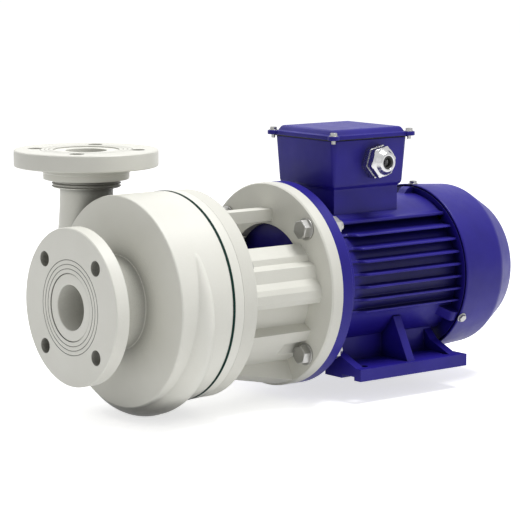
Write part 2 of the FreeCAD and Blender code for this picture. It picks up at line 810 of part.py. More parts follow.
# Lantern bracket between the pump cover and the motor flange
def make_lantern():
    body = new_body("lantern_bracket")
    revolve(body, [
        (COVER_BACK, "seal_chamber_outer_radius + seat_gap"),
        (COVER_BACK, "lantern_front_radius"),
        (LANTERN_BACK_FACE, "lantern_front_radius"),
        (LANTERN_BACK_FACE, "seal_chamber_outer_radius + seat_gap"),
    ], name="front_ring")
    skirt_front = LANTERN_BACK_FACE + " - 2"
    skirt_back = LANTERN_FLANGE + " + 2"
    revolve(body, [
        (skirt_front, "0 - skirt_radius"),
        (skirt_back, "0 - skirt_radius"),
        (skirt_back, "skirt_wall - skirt_radius"),
        (skirt_front, "skirt_wall - skirt_radius"),
    ], name="lower_skirt", angle="skirt_angle", midplane=True)
    revolve(body, [
        (skirt_front, "0 - keel_front_radius"),
        (skirt_back, "0 - keel_back_radius"),
        (skirt_back, "skirt_wall - skirt_radius"),
        (skirt_front, "skirt_wall - skirt_radius"),
    ], name="keel", angle="keel_angle", midplane=True)
    revolve(body, [
        (skirt_front, "0 - hollow_radius"),
        (skirt_back, "0 - hollow_radius"),
        (skirt_back, "hollow_wall - hollow_radius"),
        (skirt_front, "hollow_wall - hollow_radius"),
    ], name="hollow_shell", angle="hollow_angle", midplane=True)
    for side, sign in (("near", "0 - "), ("far", "")):
        pad(body, side + "_pillar", "YZ_Plane", skirt_front, "lantern_window_length + 4", corners=[
            (sign + "42", "53.5"),
            (sign + "64", "57"),
            (sign + "79", "45"),
            (sign + "81", "38"),
            (sign + "92", "34"),
            (sign + "95", "19"),
            (sign + "102", "12"),
            (sign + "105", "6"),
            (sign + "105", "-4"),
            (sign + "101", "-10"),
            (sign + "84", "-12.5"),
            (sign + "70", "-12.5"),
            (sign + "69", "10"),
            (sign + "60", "34"),
        ])
    pad(body, "top_rib", "YZ_Plane", skirt_front, "lantern_window_length + 4", corners=[
        ("0 - top_rib_half_width", "top_rib_bottom"),
        ("top_rib_half_width", "top_rib_bottom"),
        ("top_rib_half_width", "top_rib_top"),
        ("0 - top_rib_half_width", "top_rib_top"),
    ])
    revolve(body, [
        (LANTERN_FLANGE, "lantern_bore_radius"),
        (LANTERN_FLANGE, "motor_flange_radius - 1.5"),
        (LANTERN_FLANGE + " + 2", "motor_flange_radius"),
        (MOTOR_FACE, "motor_flange_radius"),
        (MOTOR_FACE, "spigot_radius + seat_gap"),
        (MOTOR_FACE + " - spigot_height - running_gap", "spigot_radius + seat_gap"),
        (MOTOR_FACE + " - spigot_height - running_gap", "lantern_bore_radius"),
    ], name="motor_flange")
    holes_around(body, "bolt_pockets", LANTERN_FLANGE + " - 34", "34", "lantern_bolt_circle",
                 "bolt_pocket_radius", 4, 45)
    holes_around(body, "flange_holes", LANTERN_FLANGE + " - 1", "lantern_flange_thickness + 2",
                 "lantern_bolt_circle",
                 "lantern_hole_radius", 4, 45)
    holes_around(body, "ring_holes", COVER_BACK + " - 1", "lantern_front_thickness + 2", "casing_bolt_circle",
                 "casing_bolt_radius + 0.5", 8, 22.5)
    return body


# Bolts that hold volute, cover and lantern together, and lantern and motor together
def make_bolts():
    bolts = []
    washers = []
    head_face = LANTERN_BACK_FACE + " + casing_washer_thickness"
    grip = "casing_bolt_grip + cover_thickness + lantern_front_thickness / 2"
    for across, up in ring_places("casing_bolt_circle", 8, 22.5):
        head = hexagon("casing_head", (head_face, across, up), "+X", "casing_bolt_head",
                       "casing_bolt_head_height")
        shank = rod("casing_shank", (head_face + " + 1 - (" + grip + ")", across, up), "+X",
                    "casing_bolt_radius - seat_gap", grip)
        bolts.append(joined("casing_bolt", [head, shank]))
        disc = rod("washer_disc", (LANTERN_BACK_FACE, across, up), "+X", "casing_washer_radius",
                   "casing_washer_thickness")
        hole = rod("washer_hole", (LANTERN_BACK_FACE, across, up), "+X", "casing_bolt_radius + 0.4",
                   "casing_washer_thickness")
        washers.append(trimmed("casing_washer", disc, [hole]))
    node(group("casing_bolt_set", bolts), "casing_bolts")
    node(group("casing_washer_set", washers), "casing_washers")
    bolts = []
    washers = []
    nuts = []
    washer_front = LANTERN_FLANGE + " - lantern_washer_thickness"
    head_front = washer_front + " - lantern_bolt_head_height"
    length = ("lantern_washer_thickness + lantern_flange_thickness + shield_flange_thickness"
              " + lantern_nut_height + lantern_bolt_end + 1")
    for across, up in ring_places("lantern_bolt_circle", 4, 45):
        head = hexagon("lantern_head", (head_front, across, up), "+X", "lantern_bolt_head",
                       "lantern_bolt_head_height")
        shank = rod("lantern_shank", (washer_front + " - 1", across, up), "+X", "lantern_bolt_radius", length)
        bolts.append(joined("lantern_bolt", [head, shank]))
        disc = rod("washer_disc", (washer_front, across, up), "+X", "lantern_washer_radius",
                   "lantern_washer_thickness")
        hole = rod("washer_hole", (washer_front, across, up), "+X", "lantern_bolt_radius + 0.4",
                   "lantern_washer_thickness")
        washers.append(trimmed("lantern_washer", disc, [hole]))
        body = hexagon("nut_body", (SHIELD_BACK, across, up), "+X", "lantern_bolt_head", "lantern_nut_height")
        hole = rod("nut_hole", (SHIELD_BACK, across, up), "+X", "lantern_bolt_radius + seat_gap",
                   "lantern_nut_height")
        nuts.append(trimmed("lantern_nut", body, [hole]))
    node(group("lantern_bolt_set", bolts), "lantern_bolts")
    node(group("lantern_washer_set", washers), "lantern_washers")
    node(group("lantern_nut_set", nuts), "lantern_nuts")


# Motor front shield: mounting flange, spigot and front bearing seat
def make_front_shield():
    seat = "bearing_outer_radius + seat_gap"
    body = turned("motor_front_shield", [
        (MOTOR_FACE + " - spigot_height", "22"),
        (MOTOR_FACE + " - spigot_height", "spigot_radius"),
        (MOTOR_FACE, "spigot_radius"),
        (MOTOR_FACE, "motor_flange_radius"),
        (SHIELD_BACK, "motor_flange_radius"),
        (SHIELD_BACK, "shield_front_radius - 8"),
        (SHIELD_BACK + " + 6", "shield_front_radius - 10"),
        (FRAME_FRONT + " - 12", "shield_back_radius - 4"),
        (FRAME_FRONT + " - 12", "shield_back_radius"),
        (FRAME_FRONT, "shield_back_radius"),
        (FRAME_FRONT, "frame_bore_radius + 2"),
        (SHIELD_BACK + " + 4", "frame_bore_radius + 2"),
        (SHIELD_BACK + " + 4", "bearing_outer_radius + 10"),
        ("front_bearing_front + bearing_width + 4", "bearing_outer_radius + 8"),
        ("front_bearing_front + bearing_width + 4", seat),
        ("front_bearing_front", seat),
        ("front_bearing_front", "22"),
    ])
    holes_around(body, "flange_holes", MOTOR_FACE + " - 1", "shield_flange_thickness + 2",
                 "lantern_bolt_circle",
                 "lantern_hole_radius", 4, 45)
    return body


# Finned motor frame with a smooth crown under the terminal box
def make_frame():
    tube = rod("frame_tube", (FRAME_FRONT, "0", "0"), "+X", "frame_barrel_radius", "frame_length")
    crown_round = rod("crown_round", (FRAME_FRONT, "0", "0"), "+X", "frame_crown_radius", "frame_length")
    crown_limit = block("crown_limit", (FRAME_FRONT, "0 - crown_half_width", "fin_pitch * 4.8"),
                        "frame_length",
                        "2 * crown_half_width", "frame_crown_radius")
    crown = common("crown", crown_round, crown_limit)
    slabs = []
    for step in range(-2, 6):
        slabs.append(block("fin_slab", (FRAME_FRONT + " + fin_front_inset", "0 - fin_tip_radius - 1",
                                        "%d * fin_pitch - fin_thickness / 2" % step),
                           "frame_length - fin_front_inset", "2 * fin_tip_radius + 2", "fin_thickness"))
    envelope = rod("fin_envelope", (FRAME_FRONT, "0", "0"), "+X", "fin_tip_radius", "frame_length")
    fins = common("fins", joined("fin_slabs", slabs), envelope)
    rear_rim = rod("rear_rim", (FRAME_BACK + " - 10", "0", "0"), "+X", "shield_back_radius", "10")
    outside = joined("frame_outside", [tube, crown, fins, rear_rim])
    bore = rod("frame_bore", (FRAME_FRONT + " - 1", "0", "0"), "+X", "frame_bore_radius", "frame_length + 2")
    node(trimmed("frame_casting", outside, [bore]), "motor_frame")


# Feet: a drilled pad with a relief below, a side wall, a tall middle rib and two low gussets each
def make_foot(label, side):
    sign = "0 - " if side < 0 else ""
    floor = "0 - shaft_height"
    outer_wall = "0 - foot_inner - foot_wall" if side < 0 else "foot_inner + foot_wall"
    pad_top = floor + " + foot_thickness"
    under_pad_top = pad_top + " - 1"
    half_barrel = "0 - frame_barrel_radius / 2"
    gusset_top = "0 - frame_barrel_radius * 0.8"
    body = new_body(label)
    pad(body, "pad", "YZ_Plane", "foot_front", "foot_length", corners=[
        (sign + "foot_outer", floor),
        (sign + "foot_outer", pad_top),
        (sign + "foot_inner", pad_top),
        (sign + "foot_inner", floor),
    ])
    pad(body, "side_wall", "YZ_Plane", "foot_front", "foot_length - 10", corners=[
        (sign + "foot_inner", under_pad_top),
        (sign + "foot_inner", half_barrel),
        (outer_wall, half_barrel),
        (outer_wall, under_pad_top),
    ])
    middle = "foot_front + foot_length / 2 - foot_web_thickness / 2"
    pad(body, "middle_rib", "YZ_Plane", middle, "foot_web_thickness", corners=[
        (sign + "foot_rib_foot", under_pad_top),
        (sign + "foot_rib_top", half_barrel),
        (sign + "foot_inner", half_barrel),
        (sign + "foot_inner", under_pad_top),
    ])
    for name, start in (("front_gusset", "foot_front"),
                        ("rear_gusset", "foot_front + foot_length - 10 - foot_web_thickness")):
        pad(body, name, "YZ_Plane", start, "foot_web_thickness", corners=[
            (sign + "foot_rib_foot", under_pad_top),
            (sign + "foot_rib_top - 10" if side > 0 else "10 - foot_rib_top", gusset_top + " - 12"),
            (outer_wall, gusset_top),
            (sign + "foot_inner", gusset_top),
            (sign + "foot_inner", under_pad_top),
        ])
    pad(body, "frame_seat", "YZ_Plane", "foot_front - 10", "foot_length + 20",
        circle=("0", "0", "frame_barrel_radius + seat_gap"), cut=True)
    pad(body, "shield_seat", "YZ_Plane", "foot_front - 10", "10 + foot_overhang + 0.3",
        circle=("0", "0", "shield_back_radius + seat_gap"), cut=True)
    pad(body, "relief", "YZ_Plane", "foot_front - 1", "foot_length + 2", corners=[
        (sign + "foot_relief_outer", floor + " - 1"),
        (sign + "foot_relief_outer", floor + " + foot_relief_depth"),
        (sign + "foot_relief_inner", floor + " + foot_relief_depth"),
        (sign + "foot_relief_inner", floor + " - 1"),
    ], cut=True)
    for name, shift in (("front_bolt_hole", "-1"), ("rear_bolt_hole", "1")):
        along = "foot_front + foot_length / 2 + %s * foot_hole_spacing_along / 2" % shift
        across = sign + "foot_hole_spacing_across / 2"
        pad(body, name, "XY_Plane", floor + " - 1", "foot_thickness + 2",
            circle=(along, across, "foot_hole_radius"), cut=True)
    return body


# Stator, windings, rotor, shaft, key and bearings
def make_motor_inside():
    stator_back = "stator_front + stator_length"
    turned("stator_core", [
        ("stator_front", "stator_bore_radius"),
        ("stator_front", "frame_bore_radius - seat_gap"),
        (stator_back, "frame_bore_radius - seat_gap"),
        (stator_back, "stator_bore_radius"),
    ])
    windings = []
    for start in ("stator_front - winding_overhang", stator_back):
        outer = rod("winding_outer", (start, "0", "0"), "+X", "winding_outer_radius", "winding_overhang")
        inner = rod("winding_inner", (start, "0", "0"), "+X", "winding_inner_radius", "winding_overhang")
        windings.append(trimmed("winding_head", outer, [inner]))
    node(group("winding_heads", windings), "stator_windings")
    turned("rotor_core", [
        ("stator_front", "rotor_seat_radius + seat_gap"),
        ("stator_front", "rotor_radius"),
        (stator_back, "rotor_radius"),
        (stator_back, "rotor_seat_radius + seat_gap"),
    ])
    rear_end = "rear_bearing_front + bearing_width"
    shaft = turned("motor_shaft", [
        (MOTOR_FACE + " - shaft_end_length", "0"),
        (MOTOR_FACE + " - shaft_end_length", "shaft_end_radius - 1"),
        (MOTOR_FACE + " - shaft_end_length + 1", "shaft_end_radius"),
        (MOTOR_FACE, "shaft_end_radius"),
        (MOTOR_FACE, "bearing_bore_radius"),
        ("front_bearing_front + bearing_width", "bearing_bore_radius"),
        ("front_bearing_front + bearing_width", "rotor_seat_radius"),
        ("rear_bearing_front", "rotor_seat_radius"),
        ("rear_bearing_front", "bearing_bore_radius"),
        (rear_end, "bearing_bore_radius"),
        (rear_end, "fan_seat_radius"),
        ("shaft_tail_end", "fan_seat_radius"),
        ("shaft_tail_end", "0"),
    ])
    key_front = MOTOR_FACE + " - shaft_end_length + 4"
    pad(shaft, "keyway", "YZ_Plane", key_front, "key_length", corners=[
        ("0 - key_width / 2", "shaft_end_radius - key_height / 2"),
        ("key_width / 2", "shaft_end_radius - key_height / 2"),
        ("key_width / 2", "shaft_end_radius + 2"),
        ("0 - key_width / 2", "shaft_end_radius + 2"),
    ], cut=True)
    node(block("key_block", (key_front, "seat_gap - key_width / 2", "shaft_end_radius - key_height / 2"),
               "key_length", "key_width - 2 * seat_gap", "key_height"), "shaft_key")
    for label, front in (("front_bearing", "front_bearing_front"), ("rear_bearing", "rear_bearing_front")):
        turned(label + "_outer_ring", [
            (front, "bearing_outer_radius - 6"),
            (front, "bearing_outer_radius"),
            (front + " + bearing_width", "bearing_outer_radius"),
            (front + " + bearing_width", "bearing_outer_radius - 6"),
        ])
        turned(label + "_inner_ring", [
            (front, "bearing_bore_radius"),
            (front, "bearing_outer_radius - 6 - running_gap"),
            (front + " + bearing_width", "bearing_outer_radius - 6 - running_gap"),
            (front + " + bearing_width", "bearing_bore_radius"),
        ])
    turned("wave_washer", [
        ("front_bearing_front + bearing_width + 0.2", "25"),
        ("front_bearing_front + bearing_width + 0.2", "bearing_outer_radius - 0.5"),
        ("front_bearing_front + bearing_width + 2.2", "bearing_outer_radius - 0.5"),
        ("front_bearing_front + bearing_width + 2.2", "25"),
    ])


# Rear shield inside the cowl
def make_rear_shield():
    seat = "bearing_outer_radius + seat_gap"
    shield = turned("motor_rear_shield", [
        (FRAME_BACK, "frame_bore_radius"),
        (FRAME_BACK, "cowl_front_radius - cowl_wall - 0.4"),
        ("cowl_front + 8", "cowl_front_radius - cowl_wall - 1.4"),
        ("cowl_front + 9", "70"),
        ("rear_bearing_front + bearing_width + 4", "45"),
        ("rear_bearing_front + bearing_width + 4", "16"),
        ("rear_bearing_front + bearing_width", "16"),
        ("rear_bearing_front + bearing_width", seat),
        ("rear_bearing_front - 2", seat),
        ("rear_bearing_front - 2", "bearing_outer_radius + 8"),
        ("cowl_front + 3", "60"),
        ("cowl_front + 1", "frame_bore_radius"),
    ])
    hole = pad(shield, "screw_hole", "XY_Plane", "cowl_front_radius - 12", "20",
               circle=(COWL_SCREW_PLACE, "0", "cowl_screw_radius / 2 + seat_gap"), cut=True)
    around_shaft(shield, hole, 3)


# Cooling fan and its cowl
def make_fan():
    fan = turned("cooling_fan", [
        ("fan_front", "fan_seat_radius + seat_gap"),
        ("fan_front", "fan_hub_radius"),
        ("fan_front + fan_length - 3", "fan_hub_radius"),
        ("fan_front + fan_length - 3", "fan_radius"),
        ("fan_front + fan_length", "fan_radius"),
        ("fan_front + fan_length", "fan_seat_radius + seat_gap"),
    ])
    blade = pad(fan, "blade", "YZ_Plane", "fan_front", "fan_length - 2", corners=[
        ("0 - fan_blade_thickness / 2", "fan_hub_radius - 2"),
        ("fan_blade_thickness / 2", "fan_hub_radius - 2"),
        ("fan_blade_thickness / 2", "fan_radius - 2"),
        ("0 - fan_blade_thickness / 2", "fan_radius - 2"),
    ])
    around_shaft(fan, blade, 8)
    cowl = turned("fan_cowl", [
        ("cowl_front", "cowl_front_radius - cowl_wall"),
        ("cowl_front", "cowl_front_radius"),
        ("cowl_bend", "cowl_bend_radius"),
        ("cowl_bend + 10", "cowl_bend_radius - 6"),
        ("cowl_end", "cowl_end_radius"),
        ("cowl_end", "0"),
        ("cowl_end - cowl_wall", "0"),
        ("cowl_end - cowl_wall", "cowl_end_radius"),
        ("cowl_bend + 9", "cowl_bend_radius - 8"),
        ("cowl_bend", "cowl_bend_radius - cowl_wall"),
    ])
    for index, (distance, count) in enumerate((("18", 6), ("34", 12), ("50", 18), ("66", 24))):
        hole = pad(cowl, "grille_%d" % index, "YZ_Plane", "cowl_end - cowl_wall - 1", "cowl_wall + 2",
                   circle=(distance, "0", "grille_hole_radius"), cut=True)
        around_shaft(cowl, hole, count)
    hole = pad(cowl, "screw_hole", "XY_Plane", "cowl_front_radius - 10", "20",
               circle=(COWL_SCREW_PLACE, "0", "cowl_screw_radius / 2 + running_gap"), cut=True)
    around_shaft(cowl, hole, 3)
    screws = []
    for turn in (0, 120, 240):
        shank = rod("cowl_screw_shank", (COWL_SCREW_PLACE, "0", "cowl_front_radius - 9"), "+Z",
                    "cowl_screw_radius / 2", "9.5")
        head = rod("cowl_screw_head", (COWL_SCREW_PLACE, "0", "cowl_front_radius"), "+Z", "cowl_screw_radius",
                   "cowl_screw_head_height")
        screw = joined("cowl_screw", [shank, head])
        screw.Placement = FreeCAD.Placement(Vector(), Rotation(Vector(1, 0, 0), turn))
        screws.append(screw)
    node(group("cowl_screw_set", screws), "cowl_screws")


# Terminal box on the frame's crown, with lid, gasket, screws, board and studs
def rectangle(x_low, x_high, half):
    return [(x_low, "0 - (" + half + ")"), (x_high, "0 - (" + half + ")"), (x_high, half), (x_low, half)]


def loft(body, name, kind, levels):
    sketches = []
    for index, (offset, corners) in enumerate(levels):
        sketch = new_sketch(body, "%s_outline_%d" % (name, index), "XY_Plane", offset)
        draw_outline(sketch, corners)
        sketches.append(sketch)
    feature = body.newObject(kind, name)
    feature.Profile = sketches[0]
    feature.Sections = sketches[1:]
    feature.Ruled = True
    body.Tip = feature
    return feature


def make_terminal_box():
    box_back = "box_front + box_length"
    body = new_body("terminal_box")
    loft(body, "walls", "PartDesign::AdditiveLoft", [
        ("box_bottom", rectangle("box_front", box_back, "box_half_width")),
        ("box_top", rectangle("box_front - box_draft", box_back + " + box_draft",
                              "box_half_width + box_draft")),
    ])
    neck = rectangle("box_front + neck_inset", box_back + " - neck_inset", "box_half_width - neck_inset")
    pad(body, "neck", "XY_Plane", "frame_crown_radius - 24", "box_bottom - frame_crown_radius + 25",
        corners=neck)
    cavity = "box_wall"
    loft(body, "cavity", "PartDesign::SubtractiveLoft", [
        ("box_bottom + 4", rectangle("box_front + " + cavity, box_back + " - " + cavity,
                                     "box_half_width - " + cavity)),
        ("box_top", rectangle("box_front - box_draft + " + cavity, box_back + " + box_draft - " + cavity,
                              "box_half_width + box_draft - " + cavity)),
    ])
    pad(body, "gland_boss", "XZ_Plane", "box_half_width", "gland_seat - box_half_width",
        circle=("gland_along", "gland_height", "gland_hex_radius + 1.5"))
    pad(body, "gland_hole", "XZ_Plane", "gland_seat - 20", "21",
        circle=("gland_along", "gland_height", "gland_thread_radius + 0.3"), cut=True)
    pad(body, "frame_seat", "YZ_Plane", "box_front - 20", "box_length + 40",
        circle=("0", "0", "frame_crown_radius + seat_gap"), cut=True)
    make_terminal_lid(box_back)
    make_terminals()


def make_terminal_lid(box_back):
    low = "box_front - box_draft"
    high = box_back + " + box_draft"
    half = "box_half_width + box_draft"
    gasket = new_body("lid_gasket")
    pad(gasket, "sheet", "XY_Plane", "box_top", "lid_gasket_thickness", corners=rectangle(low, high, half))
    pad(gasket, "opening", "XY_Plane", "box_top - 1", "lid_gasket_thickness + 2", corners=rectangle(
        low + " + box_wall", high + " - box_wall", half + " - box_wall"), cut=True)
    lid_low = low + " - lid_overhang"
    lid_high = high + " + lid_overhang"
    lid_half = half + " + lid_overhang"
    lid_bottom = "box_top + lid_gasket_thickness"
    lid = new_body("terminal_lid")
    pad(lid, "rim", "XY_Plane", lid_bottom, "lid_rim_height", corners=rectangle(lid_low, lid_high, lid_half))
    loft(lid, "crown", "PartDesign::AdditiveLoft", [
        (lid_bottom + " + lid_rim_height", rectangle(
            lid_low + " + lid_screw_radius + 0.5", lid_high + " - lid_screw_radius - 0.5",
            lid_half + " - lid_screw_radius - 0.5")),
        (lid_bottom + " + lid_rim_height + lid_crown_height", rectangle(
            lid_low + " + lid_crown_inset", lid_high + " - lid_crown_inset",
            lid_half + " - lid_crown_inset")),
    ])
    screws = []
    for along in (lid_low, lid_high):
        for across in ("0 - (" + lid_half + ")", lid_half):
            pad(lid, "ear_%d" % len(screws), "XY_Plane", lid_bottom, "lid_rim_height",
                circle=(along, across, "ear_radius"))
            screws.append(rod("lid_screw", (along, across, lid_bottom + " + lid_rim_height"), "+Z",
                              "lid_screw_radius", "3"))
    node(group("lid_screw_set", screws), "lid_screws")


def make_terminals():
    middle = "box_front + box_length / 2"
    floor = "box_bottom + 4"
    node(block("board", (middle + " - board_length / 2", "0 - board_width / 2", floor), "board_length",
               "board_width",
               "board_height"), "terminal_board")
    studs = []
    for column in (-1, 0, 1):
        for line in (-1, 1):
            place = (middle + " + %d * board_length * 0.3" % column, "%d * board_width * 0.3" % line,
                     floor + " + board_height")
            studs.append(rod("stud", place, "+Z", "stud_radius", "stud_height"))
    node(group("stud_set", studs), "terminal_studs")


# Cable gland on the side of the terminal box
def make_gland():
    seat = ("gland_along", "0 - gland_seat", "gland_height")
    hex_piece = hexagon("gland_hex", seat, "-Y", "gland_hex_radius", "gland_hex_height")
    thread = rod("gland_thread", ("gland_along", "14 - gland_seat", "gland_height"), "-Y",
                 "gland_thread_radius",
                 "gland_hex_height + 17")
    bore = rod("gland_body_bore", ("gland_along", "15 - gland_seat", "gland_height"), "-Y",
               "gland_bore_radius + 2", "40")
    node(trimmed("gland_body_turned", joined("gland_body_solid", [hex_piece, thread]), [bore]), "gland_body")
    nut_face = "0 - gland_seat - gland_hex_height - running_gap"
    nut = hexagon("nut_hex", ("gland_along", nut_face, "gland_height"), "-Y", "gland_nut_radius",
                  "gland_nut_height")
    dome = doc.addObject("Part::Cone", "nut_dome")
    tie(dome, "Radius1", "gland_nut_radius * 0.86")
    tie(dome, "Radius2", "gland_dome_radius")
    tie(dome, "Height", "gland_dome_height")
    put(dome, ("gland_along", nut_face + " - gland_nut_height", "gland_height"), "-Y")
    inside = rod("nut_thread", ("gland_along", nut_face + " + 1", "gland_height"), "-Y",
                 "gland_thread_radius + seat_gap", "gland_nut_height - 1")
    mouth = rod("nut_mouth", ("gland_along", nut_face + " + 1", "gland_height"), "-Y", "gland_bore_radius",
                "40")
    node(trimmed("gland_nut_turned", joined("gland_nut_solid", [nut, dome]), [inside, mouth]), "gland_nut")
    locknut = hexagon("locknut_hex", ("gland_along", "gland_wall_inside", "gland_height"), "-Y",
                      "gland_hex_radius - 2",
                      "locknut_height")
    hole = rod("locknut_hole", ("gland_along", "gland_wall_inside + 1", "gland_height"), "-Y",
               "gland_thread_radius + seat_gap", "locknut_height + 2")
    node(trimmed("locknut_turned", locknut, [hole]), "gland_locknut")


doc.recompute()

make_volute()
make_flange("suction_flange", "suction_flange_radius", "suction_flange_thickness", "suction_bolt_radius")
make_discharge_flange()
make_cover()
make_impeller()
make_pump_shaft()
make_seal()
make_lantern()
make_bolts()
make_front_shield()
make_frame()
make_foot("near_foot", -1)
make_foot("far_foot", 1)
make_motor_inside()
make_rear_shield()
make_fan()
make_terminal_box()
make_gland()

doc.recompute()

# Nothing is written unless every object is sound
for thing in doc.Objects:
    if "Invalid" in thing.State or "Error" in thing.State:
        raise RuntimeError("%s (%s) did not recompute: %s" % (thing.Label, thing.Name, thing.State))
for piece in nodes:
    if piece.Shape.isNull() or not piece.Shape.isValid():
        raise RuntimeError(piece.Label + " has no sound shape")

os.makedirs("parts", exist_ok=True)
for piece in nodes:
    piece.Shape.exportStep("parts/%s.step" % piece.Label)
    print("%-28s solids %3d volume %12.1f faces %4d" % (
        piece.Label, len(piece.Shape.Solids), piece.Shape.Volume, len(piece.Shape.Faces)))
print("nodes", len(nodes))
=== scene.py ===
import math

import bmesh
import bpy
import numpy as np
from mathutils import Matrix, Vector


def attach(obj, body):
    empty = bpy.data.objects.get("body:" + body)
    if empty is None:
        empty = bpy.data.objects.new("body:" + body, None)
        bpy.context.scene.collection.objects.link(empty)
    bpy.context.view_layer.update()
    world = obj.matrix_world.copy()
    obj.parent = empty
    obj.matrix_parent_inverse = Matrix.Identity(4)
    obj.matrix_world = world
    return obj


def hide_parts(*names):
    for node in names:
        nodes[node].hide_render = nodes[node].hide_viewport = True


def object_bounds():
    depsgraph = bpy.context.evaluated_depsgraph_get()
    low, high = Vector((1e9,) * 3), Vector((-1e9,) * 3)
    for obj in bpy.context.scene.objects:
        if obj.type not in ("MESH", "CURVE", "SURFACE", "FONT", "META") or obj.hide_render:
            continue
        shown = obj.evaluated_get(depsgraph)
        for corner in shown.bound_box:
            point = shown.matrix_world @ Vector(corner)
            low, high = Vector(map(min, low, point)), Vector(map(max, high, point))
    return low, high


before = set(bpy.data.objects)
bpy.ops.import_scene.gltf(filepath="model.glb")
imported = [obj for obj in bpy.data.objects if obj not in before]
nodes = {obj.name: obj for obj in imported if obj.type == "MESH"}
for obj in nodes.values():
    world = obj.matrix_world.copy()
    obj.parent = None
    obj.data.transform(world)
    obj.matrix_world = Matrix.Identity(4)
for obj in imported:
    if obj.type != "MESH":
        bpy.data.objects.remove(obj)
cadLow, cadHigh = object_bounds()
print("frame loaded,", len(nodes), "nodes")

mm = 0.001
weldDistance = 2e-6  # metres
housing = "pump_and_motor_housing"
dischargePlace = (101, 110.7, 0)  # where the discharge's upright axis stands
glandPlace = (417, 0, 148.5)      # where the gland's axis crosses the middle plane

# an axis and the two directions across it
directions = {
    "+X": np.array([(1, 0, 0), (0, 1, 0), (0, 0, 1)], float),
    "-Y": np.array([(0, -1, 0), (1, 0, 0), (0, 0, -1)], float),
    "+Z": np.array([(0, 0, 1), (1, 0, 0), (0, 1, 0)], float),
}


socketKinds = {1: "Float", 3: "Vector", 4: "Color"}  # by how many numbers an input's default has


def makeGroup(name, inputs, outputs):
    group = bpy.data.node_groups.new(name, "ShaderNodeTree")
    for label, value in inputs.items():
        kind = "NodeSocket" + socketKinds[np.size(value)]
        socket = group.interface.new_socket(name=label, in_out="INPUT", socket_type=kind)
        socket.default_value = value
    for label, kind in outputs.items():
        group.interface.new_socket(name=label, in_out="OUTPUT", socket_type="NodeSocket" + kind)
    return group, group.nodes.new("NodeGroupInput").outputs, group.nodes.new("NodeGroupOutput").inputs


def addNode(tree, kind, values=None, **settings):
    node = tree.nodes.new(kind)
    for key, value in settings.items():
        setattr(node, key, value)
    for key, value in (values or {}).items():
        if isinstance(value, bpy.types.NodeSocket):
            tree.links.new(value, node.inputs[key])
        else:
            node.inputs[key].default_value = value
    return node


def multiply(tree, first, second):
    return addNode(tree, "ShaderNodeMath", {0: first, 1: second}, operation="MULTIPLY").outputs[0]


def mixColors(tree, share, first, second):
    return addNode(tree, "ShaderNodeMix", {0: share, 6: first, 7: second}, data_type="RGBA").outputs[2]


def makeDriftGroup():  # two tones that wander slowly over the piece, with a finer fleck on top
    group, given, out = makeGroup("toneDrift", {"Light": (0.8, 0.8, 0.8, 1), "Dark": (0.6, 0.6, 0.6, 1),
                                                "Size": 20.0, "Fleck": 0.2}, {"Color": "Color"})
    place = addNode(group, "ShaderNodeTexCoord").outputs["Object"]
    broad = addNode(group, "ShaderNodeTexNoise", {"Vector": place, "Scale": given["Size"], "Detail": 3.0})
    fineSize = multiply(group, given["Size"], 42.0)
    fine = addNode(group, "ShaderNodeTexNoise", {"Vector": place, "Scale": fineSize, "Detail": 2.0})
    both = addNode(group, "ShaderNodeMix", {0: given["Fleck"], 2: broad.outputs[0], 3: fine.outputs[0]})
    spread = addNode(group, "ShaderNodeMapRange", {0: both.outputs[0], 1: 0.32, 2: 0.68})
    tone = mixColors(group, spread.outputs[0], given["Dark"], given["Light"])
    group.links.new(tone, out["Color"])
    return group


def makeGrainGroup():  # moulded or cast skin: fine pits over a slow ripple
    group, given, out = makeGroup("castSkin", {"Size": 900.0, "Ripple": 0.5}, {"Height": "Float"})
    place = addNode(group, "ShaderNodeTexCoord").outputs["Object"]
    fine = addNode(group, "ShaderNodeTexNoise", {"Vector": place, "Scale": given["Size"], "Detail": 2.0})
    slowSize = multiply(group, given["Size"], 0.11)
    slow = addNode(group, "ShaderNodeTexNoise", {"Vector": place, "Scale": slowSize, "Detail": 1.0})
    both = addNode(group, "ShaderNodeMix", {0: given["Ripple"], 2: fine.outputs[0], 3: slow.outputs[0]})
    group.links.new(both.outputs[0], out["Height"])
    return group


def makeEdgeGroup():  # rounded normal, and a mask that is 1 where the rounding bends it
    group, given, out = makeGroup("edgeRound", {"Radius": 0.001}, {"Normal": "Vector", "Edge": "Float"})
    soft = addNode(group, "ShaderNodeBevel", {"Radius": given["Radius"]}, samples=6)
    flat = addNode(group, "ShaderNodeNewGeometry").outputs["Normal"]
    agree = addNode(group, "ShaderNodeVectorMath", {0: soft.outputs[0], 1: flat}, operation="DOT_PRODUCT")
    mask = addNode(group, "ShaderNodeMapRange", {0: agree.outputs["Value"], 1: 0.995, 2: 0.8, 3: 0.0, 4: 1.0})
    group.links.new(soft.outputs[0], out["Normal"])
    group.links.new(mask.outputs[0], out["Edge"])
    return group


